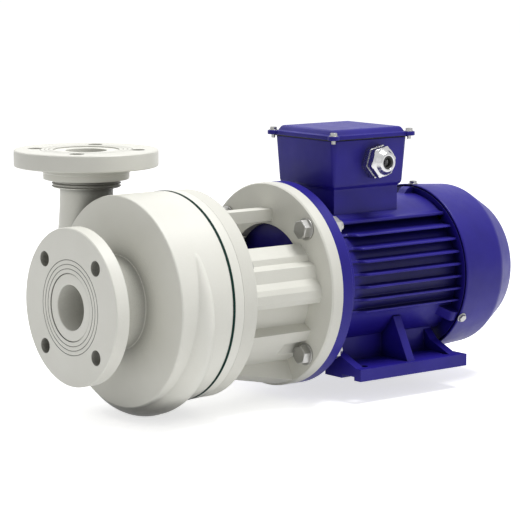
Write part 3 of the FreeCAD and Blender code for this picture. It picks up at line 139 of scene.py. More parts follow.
def makeRingGroup():  # lathe marks: waves of the distance from an axis, broken up by noise
    group, given, out = makeGroup("latheMarks", {"Centre": (0.0, 0.0, 0.0), "Across": (0.0, 1.0, 1.0),
                                                 "Pitch": 0.0006}, {"Height": "Float"})
    place = addNode(group, "ShaderNodeTexCoord").outputs["Object"]
    shifted = addNode(group, "ShaderNodeVectorMath", {0: place, 1: given["Centre"]}, operation="SUBTRACT")
    across = addNode(group, "ShaderNodeVectorMath", {0: shifted.outputs[0], 1: given["Across"]},
                     operation="MULTIPLY")
    radius = addNode(group, "ShaderNodeVectorMath", {0: across.outputs[0]}, operation="LENGTH")
    count = addNode(group, "ShaderNodeMath", {0: radius.outputs["Value"], 1: given["Pitch"]},
                    operation="DIVIDE")
    noise = addNode(group, "ShaderNodeTexNoise", {"Vector": place, "Scale": 60.0, "Detail": 2.0})
    turn = addNode(group, "ShaderNodeMath", {0: noise.outputs[0], 1: 2.0, 2: count.outputs[0]},
                   operation="MULTIPLY_ADD")
    phase = multiply(group, turn.outputs[0], 2 * math.pi)
    wave = addNode(group, "ShaderNodeMath", {0: phase}, operation="SINE")
    group.links.new(wave.outputs[0], out["Height"])
    return group


def makeCavityGroup():  # 1 in narrow places that light hardly reaches, 0 on open faces
    group, given, out = makeGroup("cavityShade", {"Reach": 0.02}, {"Mask": "Float"})
    seen = addNode(group, "ShaderNodeAmbientOcclusion", {"Distance": given["Reach"]}, samples=6)
    mask = addNode(group, "ShaderNodeMapRange", {0: seen.outputs["AO"], 1: 0.85, 2: 0.38, 3: 0.0, 4: 1.0})
    group.links.new(mask.outputs[0], out["Mask"])
    return group


def makeDustGroup():  # dust that settles on faces that look up
    group, given, out = makeGroup("settledDust", {"Amount": 0.3}, {"Mask": "Float"})
    normal = addNode(group, "ShaderNodeNewGeometry").outputs["Normal"]
    parts = addNode(group, "ShaderNodeSeparateXYZ", {0: normal})
    upward = addNode(group, "ShaderNodeMapRange", {0: parts.outputs[2], 1: 0.45, 2: 1.0})
    place = addNode(group, "ShaderNodeTexCoord").outputs["Object"]
    patch = addNode(group, "ShaderNodeTexNoise", {"Vector": place, "Scale": 46.0, "Detail": 4.0})
    thin = addNode(group, "ShaderNodeMapRange", {0: patch.outputs[0], 1: 0.35, 2: 0.75})
    mask = multiply(group, multiply(group, upward.outputs[0], thin.outputs[0]), given["Amount"])
    group.links.new(mask, out["Mask"])
    return group


toneDrift = makeDriftGroup()
castSkin = makeGrainGroup()
edgeRound = makeEdgeGroup()
latheMarks = makeRingGroup()
settledDust = makeDustGroup()
cavityShade = makeCavityGroup()


def useGroup(tree, group, values):
    node = tree.nodes.new("ShaderNodeGroup")
    node.node_tree = group
    for key, value in values.items():
        node.inputs[key].default_value = value
    return node.outputs


plainLook = {
    "light": (0.8, 0.8, 0.8), "dark": (0.7, 0.7, 0.7), "toneSize": 14.0, "fleck": 0.25,
    # painted highlight: the lighter edge colour and the share of it mixed into rounded edges
    "paintedEdgeLightColor": (0.9, 0.9, 0.9), "paintedEdgeLight": 0.0, "dust": 0.0, "dustColor": (0.62, 0.6, 0.55),
    "roughness": 0.45, "metallic": 0.0, "coat": 0.0, "specular": 0.5, "edge": 0.9,
    "skinSize": 900.0, "skinDepth": 0.05, "ripple": 0.4,
    # painted shade: the cavity share, its reach and the dark colour that narrow places are mixed towards
    "cavity": 0.0, "cavityReach": 20.0, "cavityShadeColor": (0.1, 0.1, 0.1),
    "lathe": 0.0, "lathePitch": 0.7, "latheCentre": (0, 0, 0), "latheAcross": (0, 1, 1),
}


def makeMaterial(name, **changes):
    look = dict(plainLook, **changes)
    material = bpy.data.materials.new(name)
    material.use_nodes = True
    tree = material.node_tree
    shader = tree.nodes["Principled BSDF"]
    tone = useGroup(tree, toneDrift, {"Light": (*look["light"], 1), "Dark": (*look["dark"], 1),
                                      "Size": look["toneSize"], "Fleck": look["fleck"]})
    rounded = useGroup(tree, edgeRound, {"Radius": look["edge"] * mm})
    # painted highlight: where the rounding bends the normal, the colour is mixed towards a lighter tone
    paintedEdgeLightMask = multiply(tree, rounded["Edge"], look["paintedEdgeLight"])
    color = mixColors(tree, paintedEdgeLightMask, tone["Color"], (*look["paintedEdgeLightColor"], 1))
    dust = useGroup(tree, settledDust, {"Amount": look["dust"]})
    color = mixColors(tree, dust["Mask"], color, (*look["dustColor"], 1))
    # painted shade: narrow places that light hardly reaches are darkened towards a dark colour
    if look["cavity"]:
        recess = useGroup(tree, cavityShade, {"Reach": look["cavityReach"] * mm})
        depth = multiply(tree, recess["Mask"], look["cavity"])
        color = mixColors(tree, depth, color, (*look["cavityShadeColor"], 1))
    tree.links.new(color, shader.inputs["Base Color"])
    skin = useGroup(tree, castSkin, {"Size": look["skinSize"], "Ripple": look["ripple"]})
    gloss = addNode(tree, "ShaderNodeMapRange", {0: skin["Height"], 1: 0.3, 2: 0.7,
                                                 3: look["roughness"] - 0.06, 4: look["roughness"] + 0.06})
    tree.links.new(gloss.outputs[0], shader.inputs["Roughness"])
    bump = addNode(tree, "ShaderNodeBump", {"Height": skin["Height"], "Normal": rounded["Normal"],
                                            "Distance": look["skinDepth"] * mm, "Strength": 1.0})
    normal = bump.outputs[0]
    if look["lathe"]:
        rings = useGroup(tree, latheMarks, {"Centre": [v * mm for v in look["latheCentre"]],
                                            "Across": look["latheAcross"], "Pitch": look["lathePitch"] * mm})
        turned = addNode(tree, "ShaderNodeBump", {"Height": rings["Height"], "Normal": normal,
                                                  "Distance": look["lathe"] * mm, "Strength": 1.0})
        normal = turned.outputs[0]
    tree.links.new(normal, shader.inputs["Normal"])
    shader.inputs["Metallic"].default_value = look["metallic"]
    shader.inputs["Coat Weight"].default_value = look["coat"]
    shader.inputs["Coat Roughness"].default_value = 0.12
    shader.inputs["Specular IOR Level"].default_value = look["specular"]
    return material


# ivory, blue and steel each paint a highlight on their rounded edges, in a lighter tone than their own
ivory = {"light": (0.80, 0.795, 0.735), "dark": (0.745, 0.74, 0.675), "roughness": 0.42, "skinDepth": 0.03,
         "dust": 0.05, "specular": 0.42, "paintedEdgeLightColor": (0.88, 0.87, 0.82), "paintedEdgeLight": 0.25,
         # painted shade in narrow places: the cavity share and dark colour, here and in blue below
         "cavity": 0.9, "cavityReach": 40.0, "cavityShadeColor": (0.11, 0.108, 0.092)}
blue = {"light": (0.017, 0.010, 0.245), "dark": (0.011, 0.006, 0.175), "roughness": 0.46, "coat": 0.04,
        "specular": 0.22, "skinSize": 620.0, "skinDepth": 0.06, "ripple": 0.55, "fleck": 0.15,
        "paintedEdgeLightColor": (0.06, 0.045, 0.42), "paintedEdgeLight": 0.45,
        "cavity": 0.95, "cavityReach": 18.0, "cavityShadeColor": (0.002, 0.0015, 0.045)}
steel = {"light": (0.46, 0.455, 0.44), "dark": (0.33, 0.33, 0.32), "roughness": 0.34, "metallic": 1.0,
         "skinDepth": 0.012, "paintedEdgeLightColor": (0.62, 0.62, 0.60), "paintedEdgeLight": 0.5, "edge": 0.35}

materials = {
    "mouldedIvory": makeMaterial("mouldedIvory", **ivory),
    # painted shade: the lantern bracket's ivory is a darker copy of the moulded ivory, standing in for the
    # shade the bracket sits in, with a little cavity shade of its own
    "grainyShadedIvory": makeMaterial("grainyShadedIvory", **dict(
        ivory, light=(0.71, 0.705, 0.645), dark=(0.65, 0.645, 0.585), skinSize=520.0, skinDepth=0.11,
        roughness=0.5, cavity=0.1, cavityShadeColor=(0.36, 0.355, 0.31))),
    "turnedSuction": makeMaterial("turnedSuction", **dict(ivory, lathe=0.010, edge=0.6)),
    "turnedDischarge": makeMaterial("turnedDischarge", **dict(
        ivory, light=(0.71, 0.705, 0.645), dark=(0.66, 0.655, 0.595), cavity=0.3, cavityReach=24.0,
        lathe=0.010, edge=0.6, latheCentre=dischargePlace, latheAcross=(1, 1, 0))),
    "blueCasting": makeMaterial("blueCasting", **blue),
    "blueSheet": makeMaterial("blueSheet", **dict(blue, skinDepth=0.05, roughness=0.46, coat=0.05, edge=0.5)),
    "greenGasket": makeMaterial("greenGasket", light=(0.001, 0.026, 0.018), dark=(0.001, 0.018, 0.013),
                                specular=0.15, roughness=0.7, skinDepth=0.05, edge=0.2),
    "blackRubber": makeMaterial("blackRubber", light=(0.03, 0.03, 0.03), dark=(0.02, 0.02, 0.02),
                                roughness=0.7, skinDepth=0.06, edge=0.2),
    "fanPlastic": makeMaterial("fanPlastic", light=(0.035, 0.035, 0.04), dark=(0.025, 0.025, 0.03),
                               roughness=0.5, skinDepth=0.04),
    "stainlessBolt": makeMaterial("stainlessBolt", **dict(steel, lathe=0.006, lathePitch=0.35)),
    "turnedSteel": makeMaterial("turnedSteel", **dict(steel, lathe=0.004, lathePitch=0.5, roughness=0.25)),
    "platedNickel": makeMaterial("platedNickel", **dict(
        steel, light=(0.60, 0.60, 0.60), dark=(0.50, 0.50, 0.51), roughness=0.22,
        lathe=0.005, lathePitch=0.4, latheCentre=glandPlace, latheAcross=(1, 0, 1))),
    "groundCeramic": makeMaterial("groundCeramic", light=(0.86, 0.83, 0.76), dark=(0.80, 0.77, 0.70),
                                  roughness=0.18, skinDepth=0.01, edge=0.3),
    "lappedCarbon": makeMaterial("lappedCarbon", light=(0.05, 0.05, 0.055), dark=(0.035, 0.035, 0.04),
                                 roughness=0.3, skinDepth=0.01, lathe=0.004, edge=0.3),
    "whitePtfe": makeMaterial("whitePtfe", light=(0.86, 0.86, 0.84), dark=(0.80, 0.80, 0.78),
                              roughness=0.35, skinDepth=0.02, edge=0.5),
    "windingCopper": makeMaterial("windingCopper", light=(0.55, 0.24, 0.09), dark=(0.36, 0.14, 0.05),
                                  roughness=0.35, metallic=0.8, lathe=0.25, lathePitch=1.1),
    "stackedSteel": makeMaterial("stackedSteel", light=(0.33, 0.33, 0.34), dark=(0.22, 0.22, 0.23),
                                 roughness=0.5, metallic=0.9, lathe=0.03, lathePitch=0.5,
                                 latheAcross=(1, 0, 0)),
}

finishes = {
    "mouldedIvory": ["volute_casing", "impeller", "impeller_nut", "pump_cover"],
    "grainyShadedIvory": ["lantern_bracket"],
    "turnedSuction": ["suction_flange"],
    "turnedDischarge": ["discharge_flange"],
    "blueCasting": ["motor_front_shield", "motor_frame", "near_foot", "far_foot", "motor_rear_shield",
                    "terminal_box", "terminal_lid"],
    "blueSheet": ["fan_cowl"],
    "greenGasket": ["casing_gasket"],
    "blackRubber": ["lid_gasket"],
    "fanPlastic": ["cooling_fan", "terminal_board"],
    "stainlessBolt": ["casing_bolts", "casing_washers", "lantern_bolts", "lantern_washers", "lantern_nuts",
                      "cowl_screws", "lid_screws", "terminal_studs", "seal_gland_screws"],
    "turnedSteel": ["pump_shaft", "motor_shaft", "shaft_key", "seal_gland_plate", "seal_clamp_ring",
                    "front_bearing_outer_ring", "front_bearing_inner_ring", "rear_bearing_outer_ring",
                    "rear_bearing_inner_ring", "wave_washer"],
    "platedNickel": ["gland_body", "gland_nut", "gland_locknut"],
    "groundCeramic": ["shaft_sleeve", "seal_stationary_ring"],
    "lappedCarbon": ["seal_rotating_ring"],
    "whitePtfe": ["seal_bellows"],
    "windingCopper": ["stator_windings"],
    "stackedSteel": ["stator_core", "rotor_core"],
}
for finish, names in finishes.items():
    for name in names:
        mesh = nodes[name].data
        mesh.materials.clear()
        mesh.materials.append(materials[finish])
print("materials placed on the carried-over nodes")


def gridFaces(rows, columns, closeRows, closeColumns):  # quads of a grid whose edges may join up
    row = np.arange(rows if closeRows else rows - 1)[:, None]
    column = np.arange(columns if closeColumns else columns - 1)[None, :]
    nextRow, nextColumn = (row + 1) % rows, (column + 1) % columns
    quads = [row * columns + column, nextRow * columns + column, nextRow * columns + nextColumn,
             row * columns + nextColumn]
    return np.stack(quads, -1).reshape(-1, 4)


def softCorners(corners, radii, steps=5, closed=True):
    # each corner C becomes (1-t)^2 A + 2t(1-t) C + t^2 B, A and B being a radius away along its two sides,
    # and never past the middle of a side
    c = np.array(corners, float)
    back, ahead = np.roll(c, 1, 0) - c, np.roll(c, -1, 0) - c
    backLength, aheadLength = np.linalg.norm(back, axis=1)[:, None], np.linalg.norm(ahead, axis=1)[:, None]
    reach = np.minimum(np.broadcast_to(np.array(radii, float), len(c))[:, None],
                       0.49 * np.minimum(backLength, aheadLength))
    if not closed:
        reach[0], reach[-1] = 0, 0
    a, b = c + back / backLength * reach, c + ahead / aheadLength * reach
    t = np.linspace(0, 1, steps)[None, :, None]
    path = ((1 - t) ** 2 * a[:, None] + 2 * t * (1 - t) * c[:, None] + t ** 2 * b[:, None]).reshape(-1, 2)
    return path[np.r_[True, np.linalg.norm(np.diff(path, axis=0), axis=1) > 1e-6]]


def guarded(path, margin=1.2):
    # long straight runs get a point near each end, so that smooth shading bends only at the rounded corners
    step = np.diff(path, axis=0)
    length = np.linalg.norm(step, axis=1)
    share = margin / np.maximum(length, 1e-9)
    places = np.stack([0 * share, share, 1 - share], 1)
    kept = np.stack([length > -1, length > 4 * margin, length > 4 * margin], 1)
    points = path[:-1, None] + places[..., None] * step[:, None]
    return np.concatenate([points[kept], path[-1:]])


def turnedGrid(profile, turns, centre, pointing, shape=None):
    # point = centre + along * axis + radius * (cos turn * first + sin turn * second); shape bends the radius
    axis, first, second = directions[pointing]
    along, radius = profile[:, :1], profile[:, 1:]
    turn = np.linspace(0, 2 * math.pi, turns, endpoint=False)[None, :]
    radius = radius + 0 * turn if shape is None else shape(along, radius, turn)
    points = (np.array(centre, float) + along[..., None] * axis
              + (radius * np.cos(turn))[..., None] * first + (radius * np.sin(turn))[..., None] * second)
    return points.reshape(-1, 3)


def putPiece(name, points, faces, finish, body=housing, replaced=(), slotName=None, crease=32):
    mesh = bpy.data.meshes.new(name)
    mesh.from_pydata((points * mm).tolist(), [], faces.tolist())
    tidy = bmesh.new()
    tidy.from_mesh(mesh)
    bmesh.ops.remove_doubles(tidy, verts=tidy.verts, dist=weldDistance)
    bmesh.ops.recalc_face_normals(tidy, faces=tidy.faces)
    tidy.to_mesh(mesh)
    tidy.free()
    mesh.shade_smooth()
    mesh.set_sharp_from_angle(angle=math.radians(crease))
    mesh.materials.append(materials[finish])
    piece = bpy.data.objects.new(name, mesh)
    bpy.context.scene.collection.objects.link(piece)
    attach(piece, body)
    if replaced:
        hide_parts(*replaced)
    return piece


def gather(parts):  # several (points, faces) as one mesh
    starts = np.cumsum([0] + [len(points) for points, faces in parts[:-1]])
    return (np.concatenate([points for points, faces in parts]),
            np.concatenate([faces + start for (points, faces), start in zip(parts, starts)]))


def repeatAt(points, faces, places):  # the same template at each place, as one array
    places = np.array(places, float)
    moved = points[None] + places[:, None]
    steps = np.arange(len(places))[:, None, None] * len(points)
    return moved.reshape(-1, 3), (faces[None] + steps).reshape(-1, faces.shape[1])


def ringPlaces(along, circle, count, start):  # places at start + 360 / count * n degrees on a circle
    turn = np.radians(start + 360 / count * np.arange(count))
    return np.stack([np.full(count, float(along)), circle * np.cos(turn), circle * np.sin(turn)], 1)


def turnedPart(corners, radii, turns=64, centre=(0, 0, 0), pointing="+X", shape=None, steps=5):
    # a closed section carried round the axis
    profile = softCorners(corners, radii, steps)
    profile = guarded(np.concatenate([profile, profile[:1]]))[:-1]
    return turnedGrid(profile, turns, centre, pointing, shape), gridFaces(len(profile), turns, True, True)


def solidPart(corners, radii, turns=48, centre=(0, 0, 0), pointing="+X", shape=None, steps=4):
    # an open section that starts and ends on the axis, so both poles close
    profile = guarded(softCorners(corners, radii, steps, closed=False))
    return turnedGrid(profile, turns, centre, pointing, shape), gridFaces(len(profile), turns, False, True)


def turnAboutShaft(points, degrees):  # y cos t - z sin t, y sin t + z cos t
    turn = math.radians(degrees)
    y, z = points[:, 1], points[:, 2]
    return np.stack([points[:, 0], y * math.cos(turn) - z * math.sin(turn),
                     y * math.sin(turn) + z * math.cos(turn)], 1)


def boxGrid(profile, base, cornerRadius, steps=7, seat=None):
    # each profile point (inset, height) gives the base rectangle drawn in by inset, its corners rounded by
    # quarter circles; a level below the seat's radius follows the round crown, height = sqrt(seat^2 - y^2)
    xLow, xHigh, half = base
    inset, height = profile[:, :1], profile[:, 1:]
    quarter = np.linspace(0, math.pi / 2, steps)
    angle = (quarter[None] + np.arange(4)[:, None] * math.pi / 2).ravel()[None]
    right, far = np.repeat([1, -1, -1, 1], steps)[None], np.repeat([1, 1, -1, -1], steps)[None]
    radius = np.clip(cornerRadius - inset, 0.4, None)
    reachX = np.clip((xHigh - xLow) / 2 - inset, 0, None)
    reachY = np.clip(half - inset, 0, None)
    radius = np.minimum(radius, np.minimum(reachX, reachY))
    x = (xLow + xHigh) / 2 + right * (reachX - radius) + radius * np.cos(angle)
    y = far * (reachY - radius) + radius * np.sin(angle)
    z = height + 0 * x
    if seat:
        z = np.where(height < seat, np.sqrt(np.clip(seat ** 2 - y ** 2, 0, None)), z)
    return np.stack([x, y, z], -1).reshape(-1, 3), gridFaces(len(profile), 4 * steps, False, True)


def prism(outline, low, high):
    # an outline in the x-z plane carried across from low to high, its two ends closed as fans
    outline = np.array(outline, float)
    count = len(outline)
    rows = np.array([low, low, high, high], float)[:, None]
    shrink = np.array([0, 1, 1, 0], float)[:, None]
    middle = outline.mean(0)
    x = middle[0] + (outline[None, :, 0] - middle[0]) * shrink
    z = middle[1] + (outline[None, :, 1] - middle[1]) * shrink
    return np.stack([x, rows + 0 * x, z], -1).reshape(-1, 3), gridFaces(4, count, False, True)


def hexagonShape(flatRadius, twist=0.0):
    # hexagon(turn) = flatRadius / cos((turn mod 60 deg) - 30 deg), cut off at the section's own radius
    def shape(along, radius, turn):
        sixth = math.pi / 3
        side = flatRadius / np.cos(np.mod(turn + twist, sixth) - sixth / 2)
        return np.minimum(radius, side)
    return shape


# casing: stepped barrel with the spiral channel, the discharge pipe with its thread, and the flange's collar
volute = {
    "barrelRadius": 125.0, "front": 68.0, "back": 140.8, "bossRadius": 55.0, "bossFront": 26.8,
    "nozzleRadius": 40.0, "nozzleStart": 0.6, "boreRadius": 26.5, "chamberFront": 82.0, "chamberRadius": 88.0,
    "recessRadius": 106.0, "recessDepth": 10.0, "barrelSteps": 120, "barrelStop": 1.5, "turns": 288,
    "rounding": [1.5, 2.2, 0.5, 1.2, 1.2, 2.4, 0.8, 0.5, 2, 3, 1.5],
    "spiralMiddle": 101.0, "sectionRadius": 30.0, "growth": 0.048, "gain": 0.0006, "sweep": 214.0,
    "throat": 19.0, "throatEase": 9.0, "tongue": 12.0, "tongueDrop": 30.0, "blend": 0.5, "steepest": 0.5,
    "blendReach": 4, "pipeLow": 20.0, "pipeRadius": 32.3, "pipeFoot": 46.0, "pipeFlare": 3.0,
    "flareStart": 66.0, "flareLength": 50.0, "dischargeBore": 25.0, "threadStart": 123.2, "threadEnd": 167.4,
    "threadRadius": 40.0, "ridgeRadius": 42.0, "ridgeDepth": 1.9, "ridgePitch": 3.4, "ridgeCount": 3,
    "ridgeGap": 0.2, "threadRounding": 0.6, "neckTurns": 96, "collarLow": 133.2, "collarHigh": 148.3,
    "collarRadius": 52.0, "collarBore": 40.4, "collarRounding": [0.4, 1.0, 0.3, 0.3], "collarTurns": 160,
}


def makeVolute(v):
    corners = [
        (v["nozzleStart"], v["boreRadius"]), (v["nozzleStart"], v["nozzleRadius"]),
        (v["bossFront"], v["nozzleRadius"]), (v["bossFront"], v["bossRadius"]),
        (v["front"], v["bossRadius"]), (v["front"], v["barrelRadius"]),
        (v["back"], v["barrelRadius"]), (v["back"], v["recessRadius"]),
        (v["back"] - v["recessDepth"], v["chamberRadius"]), (v["chamberFront"], v["chamberRadius"]),
        (v["chamberFront"], v["boreRadius"]),
    ]
    profile = softCorners(corners, v["rounding"], 7)
    profile = guarded(np.concatenate([profile, profile[:1]]))[:-1]
    # the barrel's straight run gets many rows, for the channel to rise from
    outer = (profile[:, 1] > v["barrelRadius"] - 0.1) & (profile[:, 0] < v["back"] - 1)
    first, last = np.flatnonzero(outer)[[0, -1]]
    along = np.linspace(profile[first, 0], v["back"] - v["barrelStop"], v["barrelSteps"])
    barrel = np.stack([along, np.full(v["barrelSteps"], v["barrelRadius"])], 1)
    profile = np.concatenate([profile[:first], barrel, profile[last + 1:]])

    def spiral(along, radius, turn):
        # s degrees after the throat, the channel's crest c = growth * d + gain * d^2, where d = sweep - s, is
        # held at the throat's height by a smooth minimum; its half width is w = sqrt(2 * section * c - c^2),
        # its height h = max(c, steepest * w) and its section the arc of radius r = (w^2 + h^2) / 2h, so
        # tube = barrel + h - r + sqrt(r^2 - (x - middle)^2); the skin is the smooth maximum of both radii,
        # (a + b + sqrt((a - b)^2 + blend^2)) / 2, and the channel drops away at the tongue
        reach = v["tongue"]
        swept = np.mod(np.degrees(-turn) + reach, 360) - reach
        left = v["sweep"] - swept
        rising = v["growth"] * left + v["gain"] * left * np.abs(left)
        crest = (rising + v["throat"] - np.sqrt((rising - v["throat"]) ** 2 + v["throatEase"])) / 2
        crest = crest - v["tongueDrop"] * np.clip(-swept / reach, 0, 1)
        width = np.sqrt(np.clip(2 * v["sectionRadius"] * crest - crest ** 2, 1e-4, None))
        rise = np.maximum(crest, v["steepest"] * width)
        arc = (width ** 2 + rise ** 2) / (2 * rise)
        height = np.clip(arc ** 2 - (along - v["spiralMiddle"]) ** 2, 0, None)
        tube = v["barrelRadius"] + rise - arc + np.sqrt(height)
        joined = (radius + tube + np.sqrt((radius - tube) ** 2 + v["blend"] ** 2)) / 2
        onBarrel = (radius > v["barrelRadius"] - 0.01) & (height > 0) & (crest > 0.01)
        return np.where(onBarrel & (tube > radius - v["blendReach"]), joined, radius + 0 * turn)
    points = turnedGrid(profile, v["turns"], (0, 0, 0), "+X", spiral)
    return points, gridFaces(len(profile), v["turns"], True, True)


def makeNeck(v):
    # the pipe's foot is half an ellipse that sinks into the channel, then the upright pipe, radius = pipe +
    # flare (1 - t)^2 with t from the barrel up, the thread that carries the flange, radius = crest -
    # depth |cos(pi height / pitch)|, and the bore back down
    angle = np.linspace(0.06, math.pi / 2, 24, endpoint=False)
    foot = np.stack([v["pipeLow"] - v["pipeFoot"] * np.cos(angle),
                     (v["pipeRadius"] + v["pipeFlare"]) * np.sin(angle)], 1)
    height = np.linspace(v["pipeLow"], v["threadStart"], 60)
    t = np.clip((height - v["flareStart"]) / v["flareLength"], 0, 1)
    outside = np.stack([height, v["pipeRadius"] + v["pipeFlare"] * (1 - t) ** 2], 1)
    ridgeEnd = v["threadStart"] + v["ridgeCount"] * v["ridgePitch"]
    height = np.linspace(v["threadStart"] + v["ridgeGap"], ridgeEnd, 49)
    wave = np.abs(np.cos(math.pi * (height - v["threadStart"]) / v["ridgePitch"]))
    ridges = np.stack([height, v["ridgeRadius"] - v["ridgeDepth"] * wave], 1)
    top = softCorners([(ridgeEnd + v["ridgeGap"], v["threadRadius"]), (v["threadEnd"], v["threadRadius"]),
                       (v["threadEnd"], v["dischargeBore"]), (v["pipeLow"], v["dischargeBore"])],
                      v["threadRounding"], 4)
    profile = np.concatenate([foot, outside, ridges, top])
    turns = v["neckTurns"]
    return turnedGrid(profile, turns, dischargePlace, "+Z"), gridFaces(len(profile), turns, True, True)


def makeCollar(v):  # ring under the discharge flange, with the thread running up into it
    low, high, inner, outer = v["collarLow"], v["collarHigh"], v["collarBore"], v["collarRadius"]
    ring = turnedPart([(low, inner), (low, outer), (high, outer), (high, inner)], v["collarRounding"],
                      v["collarTurns"], dischargePlace, "+Z")
    putPiece("discharge_collar", *ring, "turnedDischarge", slotName="ivory_plastic")


# gasket and pump cover behind the casing; the collar on the cover's back holds the seal
rings = {
    "turns": 256, "gasket": 2.0, "gasketBore": 106.0, "gasketProud": 0.5, "gasketLap": 0.7, "lip": 0.4,
    "lipRoot": 0.6, "gasketRounding": 0.15, "cover": 14.3, "spigot": 13.95, "spigotRadius": 99.95,
    "shaftHole": 21.0, "collar": 49.0, "collarRadius": 52.0, "collarBore": 45.0, "seat": 5.1,
    "seatRadius": 30.0, "seatFloor": 3.9,
    "coverRounding": [1, 1, 0.3, 1.3, 1.5, 0.5, 1, 1, 0.8, 0.3, 0.3, 0.5],
}


def makeRings(v, r):
    # the gasket is squeezed out a little over the rims beside it, and the cover's rim has rounded edges
    start, front = v["back"], v["back"] + r["gasket"]
    proud, lap = v["barrelRadius"] + r["gasketProud"], r["gasketLap"]
    lipLow, root, bore = proud - r["lip"], proud - r["lipRoot"], r["gasketBore"]
    gasket = turnedPart([(start, bore), (start, root), (start - lap, lipLow), (start - lap, proud),
                         (front + lap, proud), (front + lap, lipLow), (front, root), (front, bore)],
                        r["gasketRounding"], r["turns"])
    putPiece("casing_gasket_ring", *gasket, "greenGasket", replaced=["casing_gasket"],
             slotName="green_rubber")
    back, face = front + r["cover"], start - r["spigot"]
    corners = [(face, r["shaftHole"]), (face, r["spigotRadius"]), (front, r["spigotRadius"]),
               (front, v["barrelRadius"]), (back, v["barrelRadius"]), (back, r["collarRadius"]),
               (back + r["collar"], r["collarRadius"]), (back + r["collar"], r["collarBore"]),
               (back + r["seat"], r["collarBore"]), (back + r["seat"], r["seatRadius"]),
               (back - r["seatFloor"], r["seatRadius"]), (back - r["seatFloor"], r["shaftHole"])]
    cover = turnedPart(corners, r["coverRounding"], r["turns"])
    putPiece("pump_cover_turned", *cover, "mouldedIvory", replaced=["pump_cover"], slotName="ivory_plastic")


print("volute casing")
makeRings(volute, rings)
makeCollar(volute)
shell = makeVolute(volute)
neck = makeNeck(volute)
putPiece("volute_shell", *gather([shell, neck]), "mouldedIvory", replaced=["volute_casing"],
         slotName="ivory_plastic", crease=50)


# fan cowl: pressed sheet with rows of slots in its end
cowl = {
    "front": 528.3, "frontRadius": 107.6, "bend": 594.2, "bendRadius": 103.4, "end": 631.8, "endRadius": 82.0,
    "middle": 4.0, "wall": 2.0, "turns": 240, "endRows": 60, "rows": [(12, 20), (27, 35), (42, 50), (57, 65)],
    "spokes": 12, "spokeShare": 0.18, "rounding": [0, 3.5, 3, 0],
}


def makeCowl(c):
    # the sheet's own line turned round the shaft; a face of the end belongs to a slot, and is left out, when
    # its radius lies in a row and its share of the turn between two spokes is past the spoke's own share
    path = softCorners([(c["front"], c["frontRadius"]), (c["bend"], c["bendRadius"]),
                        (c["end"], c["endRadius"]), (c["end"], c["middle"])], c["rounding"], 9, closed=False)
    side = guarded(path[path[:, 0] < c["end"] - 0.01], margin=3.0)
    across = np.linspace(side[-1, 1] - 1, c["middle"], c["endRows"])
    face = np.stack([np.full(c["endRows"], c["end"]), across], 1)
    profile = np.concatenate([side, face])
    points = turnedGrid(profile, c["turns"], (0, 0, 0), "+X")
    faces = gridFaces(len(profile), c["turns"], False, True)
    middle = points[faces].mean(1)
    radius, turn = np.hypot(middle[:, 1], middle[:, 2]), np.arctan2(middle[:, 2], middle[:, 1])
    share = np.mod(turn / (2 * math.pi) * c["spokes"], 1)
    slot = np.zeros(len(faces), bool)
    for low, high in c["rows"]:
        slot |= (radius > low) & (radius < high)
    slot &= (share > c["spokeShare"]) & (middle[:, 0] > c["end"] - 0.1)
    return points, faces[~slot]


print("fan cowl")
fanCowl = putPiece("fan_cowl_sheet", *makeCowl(cowl), "blueSheet", replaced=["fan_cowl"],
                   slotName="blue_paint", crease=60)
wall = fanCowl.modifiers.new("wall", "SOLIDIFY")
wall.thickness, wall.offset = cowl["wall"] * mm, -1


def hexHead(flatRadius, height, centre, pointing="+X", flip=False, twist=0.0):
    # chamfered hexagon: the section's own radius runs in a cone over the corners at the outer face
    corner = flatRadius / math.cos(math.pi / 6)
    plain, outside, turns = 0.93 * flatRadius, corner + 0.01, 96
    low, high = (height, 0.0) if flip else (0.0, height)
    lean = 0.55 * (corner - flatRadius) * (1 if high > low else -1)
    corners = [(high, 0), (high, plain), (high - lean, outside), (low, outside), (low, 0)]
    profile = softCorners(corners, [0, 0.2, 0.05, 0.05, 0], 4, closed=False)
    return (turnedGrid(profile, turns, centre, pointing, hexagonShape(flatRadius, twist)),
            gridFaces(len(profile), turns, False, True))


def rod(low, high, radius, rounding, turns=24, centre=(0, 0, 0), pointing="+X"):
    # a cylinder from low to high along its axis, with rounded rims
    return solidPart([(low, 0), (low, radius), (high, radius), (high, 0)], rounding, turns, centre, pointing)


def washer(inner, outer, thick, centre, pointing="+X"):  # a flat ring that stands on its centre
    return turnedPart([(0, inner), (thick, inner), (thick, outer), (0, outer)], 0.4, 64, centre, pointing)


# shanks are (length, radius, reach above the seat, rounding), washers (hole, radius, thickness)
fasteners = {
    "casingFace": 176.5, "casingCircle": 111.0, "casingFlat": 6.5, "casingHeight": 5.3,
    "casingShank": (50, 3.9, 0.5, 0.2), "casingWasher": (4.4, 8.0, 1.6), "casingCount": 8,
    "casingStart": 22.5, "lanternFace": 290.8, "lanternCircle": 107.5, "lanternFlat": 10.5,
    "lanternHeight": 9.0, "lanternShank": (53.5, 6.9, 4, 1.2), "lanternWasher": (7.3, 13.5, 2.5),
    "lanternCount": 4, "lanternStart": 45, "lanternTwist": 15,
    "nutFace": 322.8, "nutHeight": 13.0, "nutWasher": (7.3, 13.0, 2.0), "nutTwist": 30,
    "cowlAlong": 533.3, "cowlSkin": 107.2, "cowlFlat": 4.5, "cowlHeight": 3.4,
    "cowlShank": (9, 2.1, 1.2, 0.2), "cowlWasher": (2.2, 6.2, 1.0),
}


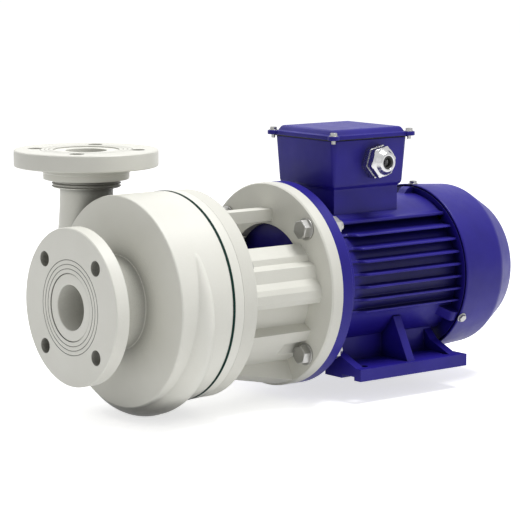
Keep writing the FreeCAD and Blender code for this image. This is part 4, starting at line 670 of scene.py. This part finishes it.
def makeFasteners(f):
    hole, rim, thick = f["casingWasher"]
    length, radius, sunk, soft = f["casingShank"]
    casing = ringPlaces(f["casingFace"] + thick, f["casingCircle"], f["casingCount"], f["casingStart"])
    head = gather([hexHead(f["casingFlat"], f["casingHeight"], (0, 0, 0)),
                   rod(-length, sunk, radius, soft)])
    putPiece("casing_bolt_set", *repeatAt(*head, casing), "stainlessBolt", replaced=["casing_bolts"],
             slotName="stainless")
    putPiece("casing_washer_set", *repeatAt(*washer(hole, rim, thick, (-thick, 0, 0)), casing),
             "stainlessBolt", replaced=["casing_washers"], slotName="stainless")
    hole, rim, thick = f["lanternWasher"]
    length, radius, sunk, soft = f["lanternShank"]
    lantern = ringPlaces(f["lanternFace"], f["lanternCircle"], f["lanternCount"], f["lanternStart"])
    height = f["lanternHeight"]
    head = gather([hexHead(f["lanternFlat"], height, (-thick - height, 0, 0), flip=True,
                           twist=math.radians(f["lanternTwist"])),
                   rod(-sunk, length, radius, soft, 48)])
    putPiece("lantern_bolt_set", *repeatAt(*head, lantern), "stainlessBolt", replaced=["lantern_bolts"],
             slotName="stainless")
    putPiece("lantern_washer_set", *repeatAt(*washer(hole, rim, thick, (-thick, 0, 0)), lantern),
             "stainlessBolt", replaced=["lantern_washers"], slotName="stainless")
    nutPlace = f["nutFace"] - f["lanternFace"]
    hole, rim, thick = f["nutWasher"]
    nut = gather([hexHead(f["lanternFlat"], f["nutHeight"], (nutPlace + thick, 0, 0),
                          twist=math.radians(f["nutTwist"])),
                  washer(hole, rim, thick, (nutPlace, 0, 0))])
    putPiece("lantern_nut_set", *repeatAt(*nut, lantern), "stainlessBolt", replaced=["lantern_nuts"],
             slotName="stainless")
    along, skin = f["cowlAlong"], f["cowlSkin"]
    hole, rim, thick = f["cowlWasher"]
    length, radius, sunk, soft = f["cowlShank"]
    screw = gather([hexHead(f["cowlFlat"], f["cowlHeight"], (along, 0, skin + thick), "+Z"),
                    washer(hole, rim, thick, (along, 0, skin), "+Z"),
                    rod(skin - length, skin + sunk, radius, soft, centre=(along, 0, 0), pointing="+Z")])
    screws = [(turnAboutShaft(screw[0], turn - 90), screw[1]) for turn in motor["screwTurns"]]
    putPiece("cowl_screw_set", *gather(screws), "stainlessBolt", replaced=["cowl_screws"],
             slotName="stainless")


# motor frame: one outline with its fins is carried along the shaft, and the fins rise out of the barrel
motor = {
    "front": 351.8, "back": 527.3, "bore": 81.0, "barrel": 88.0, "crown": 97.0, "crownHalf": 62.0,
    "shelfFoot": 0.818, "shelfStart": 52, "shelfShare": 0.835, "shelfRounding": [0, 1.5, 0.8, 1.0, 1.0, 0],
    "shelfLip": [(2.6, 1.2), (2.4, 4.6), (-2.4, 4.9)],
    "finTip": 99.5, "finHalf": 1.7, "finRoot": 1.5, "finPitch": 15.4, "finLow": -2, "finCount": 7,
    "finToe": 352.6, "finRise": 362.0, "finFull": 373.0, "toeHeight": 2.2, "toeRun": 2, "tipGap": 0.02,
    "lugStart": 505.0, "lugTop": 104.4, "lugFoot": 86.0, "lugRun": 9.0, "lugHalf": 6.5,
    "lugRounding": [0, 6, 1, 0], "screwTurns": [90, -30, -150],
}


def frameOutline(m, tip):
    # near side from the keel up: a fin's points lie at share s between the barrel, y = sqrt(R^2 - z^2), and
    # its tip, y = sqrt(T^2 - z^2), so root and edge are rounded by the shares alone
    h, root = m["finHalf"], m["finRoot"]
    share = np.array([0, 0.03, 0.10, 0.24, 0.93, 0.985, 1, 0.985, 0.93, 0.24, 0.10, 0.03, 0])
    rise = np.array([-h - root, -h - 0.5 * root, -h - 0.15 * root, -h, -0.86 * h, -0.5 * h, 0,
                     0.5 * h, 0.86 * h, h, h + 0.15 * root, h + 0.5 * root, h + root])
    gap = np.linspace(h + root, m["finPitch"] - h - root, 7)[1:-1]
    share = np.r_[share, np.zeros(5)]
    level = (m["finLow"] + np.arange(m["finCount"]))[:, None] * m["finPitch"] + np.r_[rise, gap][None]
    level = level.ravel()[:-5]
    share = np.tile(share, m["finCount"])[:-5]
    barrel = np.sqrt(m["barrel"] ** 2 - level ** 2)
    y = barrel[None] + share[None] * (np.sqrt(tip ** 2 - level[None] ** 2) - barrel[None])
    start = np.arcsin(level[0] / m["barrel"])
    turn = np.linspace(-math.pi / 2, start, 24)[:-1]
    under = m["barrel"] * np.cos(turn), m["barrel"] * np.sin(turn)
    turn = np.linspace(np.arcsin(level[-1] / m["barrel"]), np.arcsin(m["shelfFoot"]), 8)[1:]
    over = m["barrel"] * np.cos(turn), m["barrel"] * np.sin(turn)
    side, low = m["crownHalf"], m["barrel"] * m["shelfShare"]
    lip = [(side + out, low + up) for out, up in m["shelfLip"]]
    edge = softCorners([(over[0][-1], over[1][-1]), (m["shelfStart"], low), (side, low), *lip],
                       m["shelfRounding"], 4, closed=False)[1:]
    turn = np.linspace(np.arctan2(edge[-1, 1], edge[-1, 0]), math.pi / 2, 20)[1:]
    top = m["crown"] * np.cos(turn), m["crown"] * np.sin(turn)
    rows = len(tip)
    spread = np.ones((rows, 1))
    nearY = np.concatenate([spread * under[0], y, spread * over[0], spread * edge[:, 0], spread * top[0]], 1)
    nearZ = np.concatenate([under[1], level, over[1], edge[:, 1], top[1]])[None] * spread
    return (np.concatenate([-nearY, nearY[:, -2:0:-1]], 1), np.concatenate([nearZ, nearZ[:, -2:0:-1]], 1))


def makeFrame(m):
    # along the shaft the fin's tip climbs by t^2 (3 - 2 t) from its toe to its full height
    along = np.r_[m["front"], np.linspace(m["finToe"], m["finRise"], 5),
                  np.linspace(m["finRise"], m["finFull"], 12)[1:],
                  np.linspace(m["finFull"], m["back"], 10)[1:]]
    t = np.clip((along - m["finRise"]) / (m["finFull"] - m["finRise"]), 0, 1)
    toe = m["toeHeight"] * np.clip((along - m["finToe"]) / m["toeRun"], 0, 1)
    tip = m["barrel"] + m["tipGap"] + toe + (m["finTip"] - m["barrel"] - m["toeHeight"]) * t * t * (3 - 2 * t)
    y, z = frameOutline(m, tip[:, None])
    turn = np.arctan2(z[0], y[0])
    boreY = np.ones((2, 1)) * m["bore"] * np.cos(turn)
    boreZ = np.ones((2, 1)) * m["bore"] * np.sin(turn)
    x = np.r_[along, m["back"], m["front"]][:, None] * np.ones((1, y.shape[1]))
    points = np.stack([x, np.concatenate([y, boreY]), np.concatenate([z, boreZ])], -1)
    shell = points.reshape(-1, 3), gridFaces(len(x), y.shape[1], True, True)
    lugOutline = softCorners([(m["lugStart"], m["lugFoot"]), (m["back"] - m["lugRun"], m["lugTop"]),
                              (m["back"], m["lugTop"]), (m["back"], m["lugFoot"])], m["lugRounding"], 7)
    lug, lugFaces = prism(lugOutline, -m["lugHalf"], m["lugHalf"])
    lugs = [(turnAboutShaft(lug, turn - 90), lugFaces) for turn in m["screwTurns"]]
    putPiece("motor_frame_casting", *gather([shell, *lugs]), "blueCasting", replaced=["motor_frame"],
             slotName="blue_paint", crease=38)


print("motor frame")
makeFrame(motor)


# terminal box: neck on the crown, ledge, walls that lean out, and a lid with a bevelled crown and four ears
terminal = {
    "base": (349.0, 471.4, 56.8), "corner": 7.5, "seat": 97.03, "neckLow": 90.0, "neckInset": 9.1,
    "ledge": 118.7, "ledgeInset": 4.6, "cove": 3.4, "ledgeBack": 1.0, "ledgeTilt": 0.2, "ledgeRise": 2.4,
    "top": 176.0, "wall": 4.0, "floor": 122.7,
    "lidBase": (346.6, 473.8, 59.2), "lidCorner": 8.0, "lidBottom": 177.5, "rim": 5.0, "crown": 11.5,
    "crownInset": 9.6, "lift": 5.0, "earRadius": 7.2, "earInset": 1.6,
    "earRounding": [0, 0.7, 0.9, 0],
    "boxRounding": [0, 0, 1.6, 1.6, 1.6, 0.7, 0.7, 2.5, 0], "lidRounding": [0, 0.7, 0.9, 0.8, 2.2, 0],
    "screwFlat": 4.0, "screwHeight": 3.4, "screwWasher": (2.6, 5.6, 0.8), "screwShank": (9.5, 2.5, 0.4, 0.3),
}


def makeBox(t):
    # sections as (inset, height): under the crown, up the neck, round the ledge, up the wall and down inside
    neck, ledge, level, tilt = t["neckInset"], t["ledgeInset"], t["ledge"], t["ledgeTilt"]
    middle = t["base"][2]
    corners = [(middle, t["neckLow"]), (neck, t["neckLow"]), (neck, level - t["cove"]),
               (ledge + t["ledgeBack"], level - tilt), (ledge - tilt, level + t["ledgeRise"]), (0, t["top"]),
               (t["wall"], t["top"]), (ledge + t["wall"], t["floor"]), (middle, t["floor"])]
    profile = softCorners(corners, t["boxRounding"], 5, closed=False)
    shell = boxGrid(guarded(profile), t["base"], t["corner"], seat=t["seat"])
    putPiece("terminal_box_casting", *shell, "blueCasting", replaced=["terminal_box"], slotName="blue_paint",
             crease=38)
    xLow, xHigh, half = t["lidBase"]
    low, rim = t["lidBottom"], t["rim"]
    corners = [(half, low), (0, low), (0, low + rim), (t["lift"], low + rim),
               (t["crownInset"], low + t["crown"]), (half, low + t["crown"])]
    profile = softCorners(corners, t["lidRounding"], 6, closed=False)
    lid = boxGrid(guarded(profile), t["lidBase"], t["lidCorner"])
    along, across = (xLow + t["earInset"], xHigh - t["earInset"]), half - t["earInset"]
    places = [(x, y, low) for x in along for y in (-across, across)]
    ear = rod(0, rim, t["earRadius"], t["earRounding"], 48, pointing="+Z")
    putPiece("terminal_lid_casting", *gather([lid, repeatAt(*ear, places)]), "blueCasting",
             replaced=["terminal_lid"], slotName="blue_paint", crease=38)
    hole, radius, thick = t["screwWasher"]
    length, shank, sunk, soft = t["screwShank"]
    screw = gather([hexHead(t["screwFlat"], t["screwHeight"], (0, 0, thick), "+Z"),
                    washer(hole, radius, thick, (0, 0, 0), "+Z"),
                    rod(-length, sunk, shank, soft, pointing="+Z")])
    lifted = np.array(places) + (0, 0, rim)
    putPiece("lid_screw_set", *repeatAt(*screw, lifted), "stainlessBolt", replaced=["lid_screws"],
             slotName="stainless")


print("terminal box")
makeBox(terminal)


# cable gland on the box's near side: hexagon body, hexagon nut with a rounded nose, and the rubber ring in
# its mouth; a section's corners are (distance from the middle plane, radius), with their rounding beside them
gland = {
    "bodyFlat": 18.5, "nutFlat": 17.8, "turn": 12, "turns": 120, "sealTurns": 64,
    "body": [(53.3, 12.5), (53.3, 22), (64.0, 22), (64.0, 10.0), (43.0, 10.0), (43.0, 12.5)],
    "bodyRounding": [0.2, 0.2, 0.2, 0.4, 0.4, 0.4],
    "nut": [(64.3, 12.6), (64.3, 18.6), (65.3, 20.2), (72.0, 20.4), (73.6, 17.2), (74.8, 15.2), (81.3, 11.5),
            (81.3, 8.0), (72.3, 8.0), (72.3, 12.6)],
    "nutRounding": [0.2, 0.4, 0.4, 0.5, 1.2, 1.8, 2.4, 1.2, 0.2, 0.2],
    "seal": [(74, 5.4), (80.2, 5.8), (80.2, 7.95), (74, 7.95)],
    "sealRounding": [0.5, 1.0, 0.5, 0.2],
}


def makeGland(g):
    turn = math.radians(g["turn"])
    body = turnedPart(g["body"], g["bodyRounding"], g["turns"], glandPlace, "-Y",
                      hexagonShape(g["bodyFlat"], turn), steps=4)
    putPiece("gland_body_turned", *body, "platedNickel", replaced=["gland_body"], slotName="nickel")
    nut = turnedPart(g["nut"], g["nutRounding"], g["turns"], glandPlace, "-Y",
                     hexagonShape(g["nutFlat"], turn), steps=6)
    putPiece("gland_nut_turned", *nut, "platedNickel", replaced=["gland_nut"], slotName="nickel")
    seal = turnedPart(g["seal"], g["sealRounding"], g["sealTurns"], glandPlace, "-Y")
    putPiece("gland_seal", *seal, "blackRubber", slotName="black_rubber")


print("cable gland")
makeGland(gland)
print("bolts, nuts and washers")
makeFasteners(fasteners)


view = {"azimuth": -39.03456, "elevation": 8.18478, "roll": 0.19227, "lens": 160.784,
        "place": (-1.48810, -2.18166, 0.43474)}
light = {"sky": 0.43, "key": 68.0, "keyPlace": (0.9, -0.5, 2.7), "keySize": 1.3, "fill": 1.5,
         "fillPlace": (-1.9, -0.9, 0.9), "fillSize": 1.6, "rim": 8.0, "rimPlace": (0.5, 1.8, 1.5),
         "rimSize": 1.2, "floorLift": 0.66}


def makeCamera(v):
    # it looks from back = (sin a cos e, -cos a cos e, sin e), and right and up are rolled about that line
    a, e, roll = (math.radians(v[key]) for key in ("azimuth", "elevation", "roll"))
    back = Vector((math.sin(a) * math.cos(e), -math.cos(a) * math.cos(e), math.sin(e)))
    right = Vector((math.cos(a), math.sin(a), 0))
    up = back.cross(right)
    right, up = right * math.cos(roll) + up * math.sin(roll), up * math.cos(roll) - right * math.sin(roll)
    data = bpy.data.cameras.new("camera")
    data.lens, data.sensor_width = v["lens"], 36.0
    data.clip_start, data.clip_end = 0.1, 50.0
    camera = bpy.data.objects.new("camera", data)
    bpy.context.scene.collection.objects.link(camera)
    turned = Matrix((right, up, back)).transposed().to_4x4()
    camera.matrix_world = Matrix.Translation(v["place"]) @ turned
    bpy.context.scene.camera = camera


def makeLamp(name, place, size, power, aim=(0.3, 0, 0.02)):
    data = bpy.data.lights.new(name, "AREA")
    data.energy, data.size, data.shape = power, size, "DISK"
    lamp = bpy.data.objects.new(name, data)
    lamp.location = place
    lamp.rotation_euler = (Vector(place) - Vector(aim)).to_track_quat("Z", "Y").to_euler()
    bpy.context.scene.collection.objects.link(lamp)


def makeSeenMask(tree):  # 1 for rays that see the background directly, in a mirror or through glass
    path = addNode(tree, "ShaderNodeLightPath").outputs
    seen = path["Is Camera Ray"]
    for kind in ("Is Glossy Ray", "Is Transmission Ray"):
        seen = addNode(tree, "ShaderNodeMath", {0: seen, 1: path[kind]}, operation="MAXIMUM").outputs[0]
    return seen


def makeWorld(sky):
    world = bpy.data.worlds.new("studio")
    bpy.context.scene.world = world
    world.use_nodes = True
    tree = world.node_tree
    background = tree.nodes["Background"]
    background.inputs["Color"].default_value = (1, 1, 1, 1)
    level = addNode(tree, "ShaderNodeMapRange", {0: makeSeenMask(tree), 3: sky, 4: 1.0})
    tree.links.new(level.outputs[0], background.inputs["Strength"])


def makeFloor():  # a wide pale square just under the object, as bright as the background where it is seen
    reach, level = 40.0, float(cadLow.z) - 0.6 * mm
    corners = np.array([(-1, -1, 0), (1, -1, 0), (1, 1, 0), (-1, 1, 0)], float) * reach
    mesh = bpy.data.meshes.new("floor")
    mesh.from_pydata((corners + (0, 0, level)).tolist(), [], [(0, 1, 2, 3)])
    floor = bpy.data.objects.new("floor", mesh)
    bpy.context.scene.collection.objects.link(floor)
    material = bpy.data.materials.new("paleFloor")
    material.use_nodes = True
    tree = material.node_tree
    tree.nodes.remove(tree.nodes["Principled BSDF"])
    matte = addNode(tree, "ShaderNodeBsdfDiffuse", {"Color": (0.86, 0.86, 0.86, 1)})
    lift = addNode(tree, "ShaderNodeEmission", {"Color": (1, 1, 1, 1)})
    level = addNode(tree, "ShaderNodeMapRange", {0: makeSeenMask(tree), 3: 0.0, 4: light["floorLift"]})
    tree.links.new(level.outputs[0], lift.inputs["Strength"])
    both = addNode(tree, "ShaderNodeAddShader", {0: matte.outputs[0], 1: lift.outputs[0]})
    tree.links.new(both.outputs[0], tree.nodes["Material Output"].inputs["Surface"])
    mesh.materials.append(material)


print("camera, floor and light")
makeCamera(view)
makeWorld(light["sky"])
makeFloor()
for lamp in ("key", "fill", "rim"):
    makeLamp(lamp + "Lamp", light[lamp + "Place"], light[lamp + "Size"], light[lamp])
bpy.context.scene.view_settings.view_transform = "Standard"
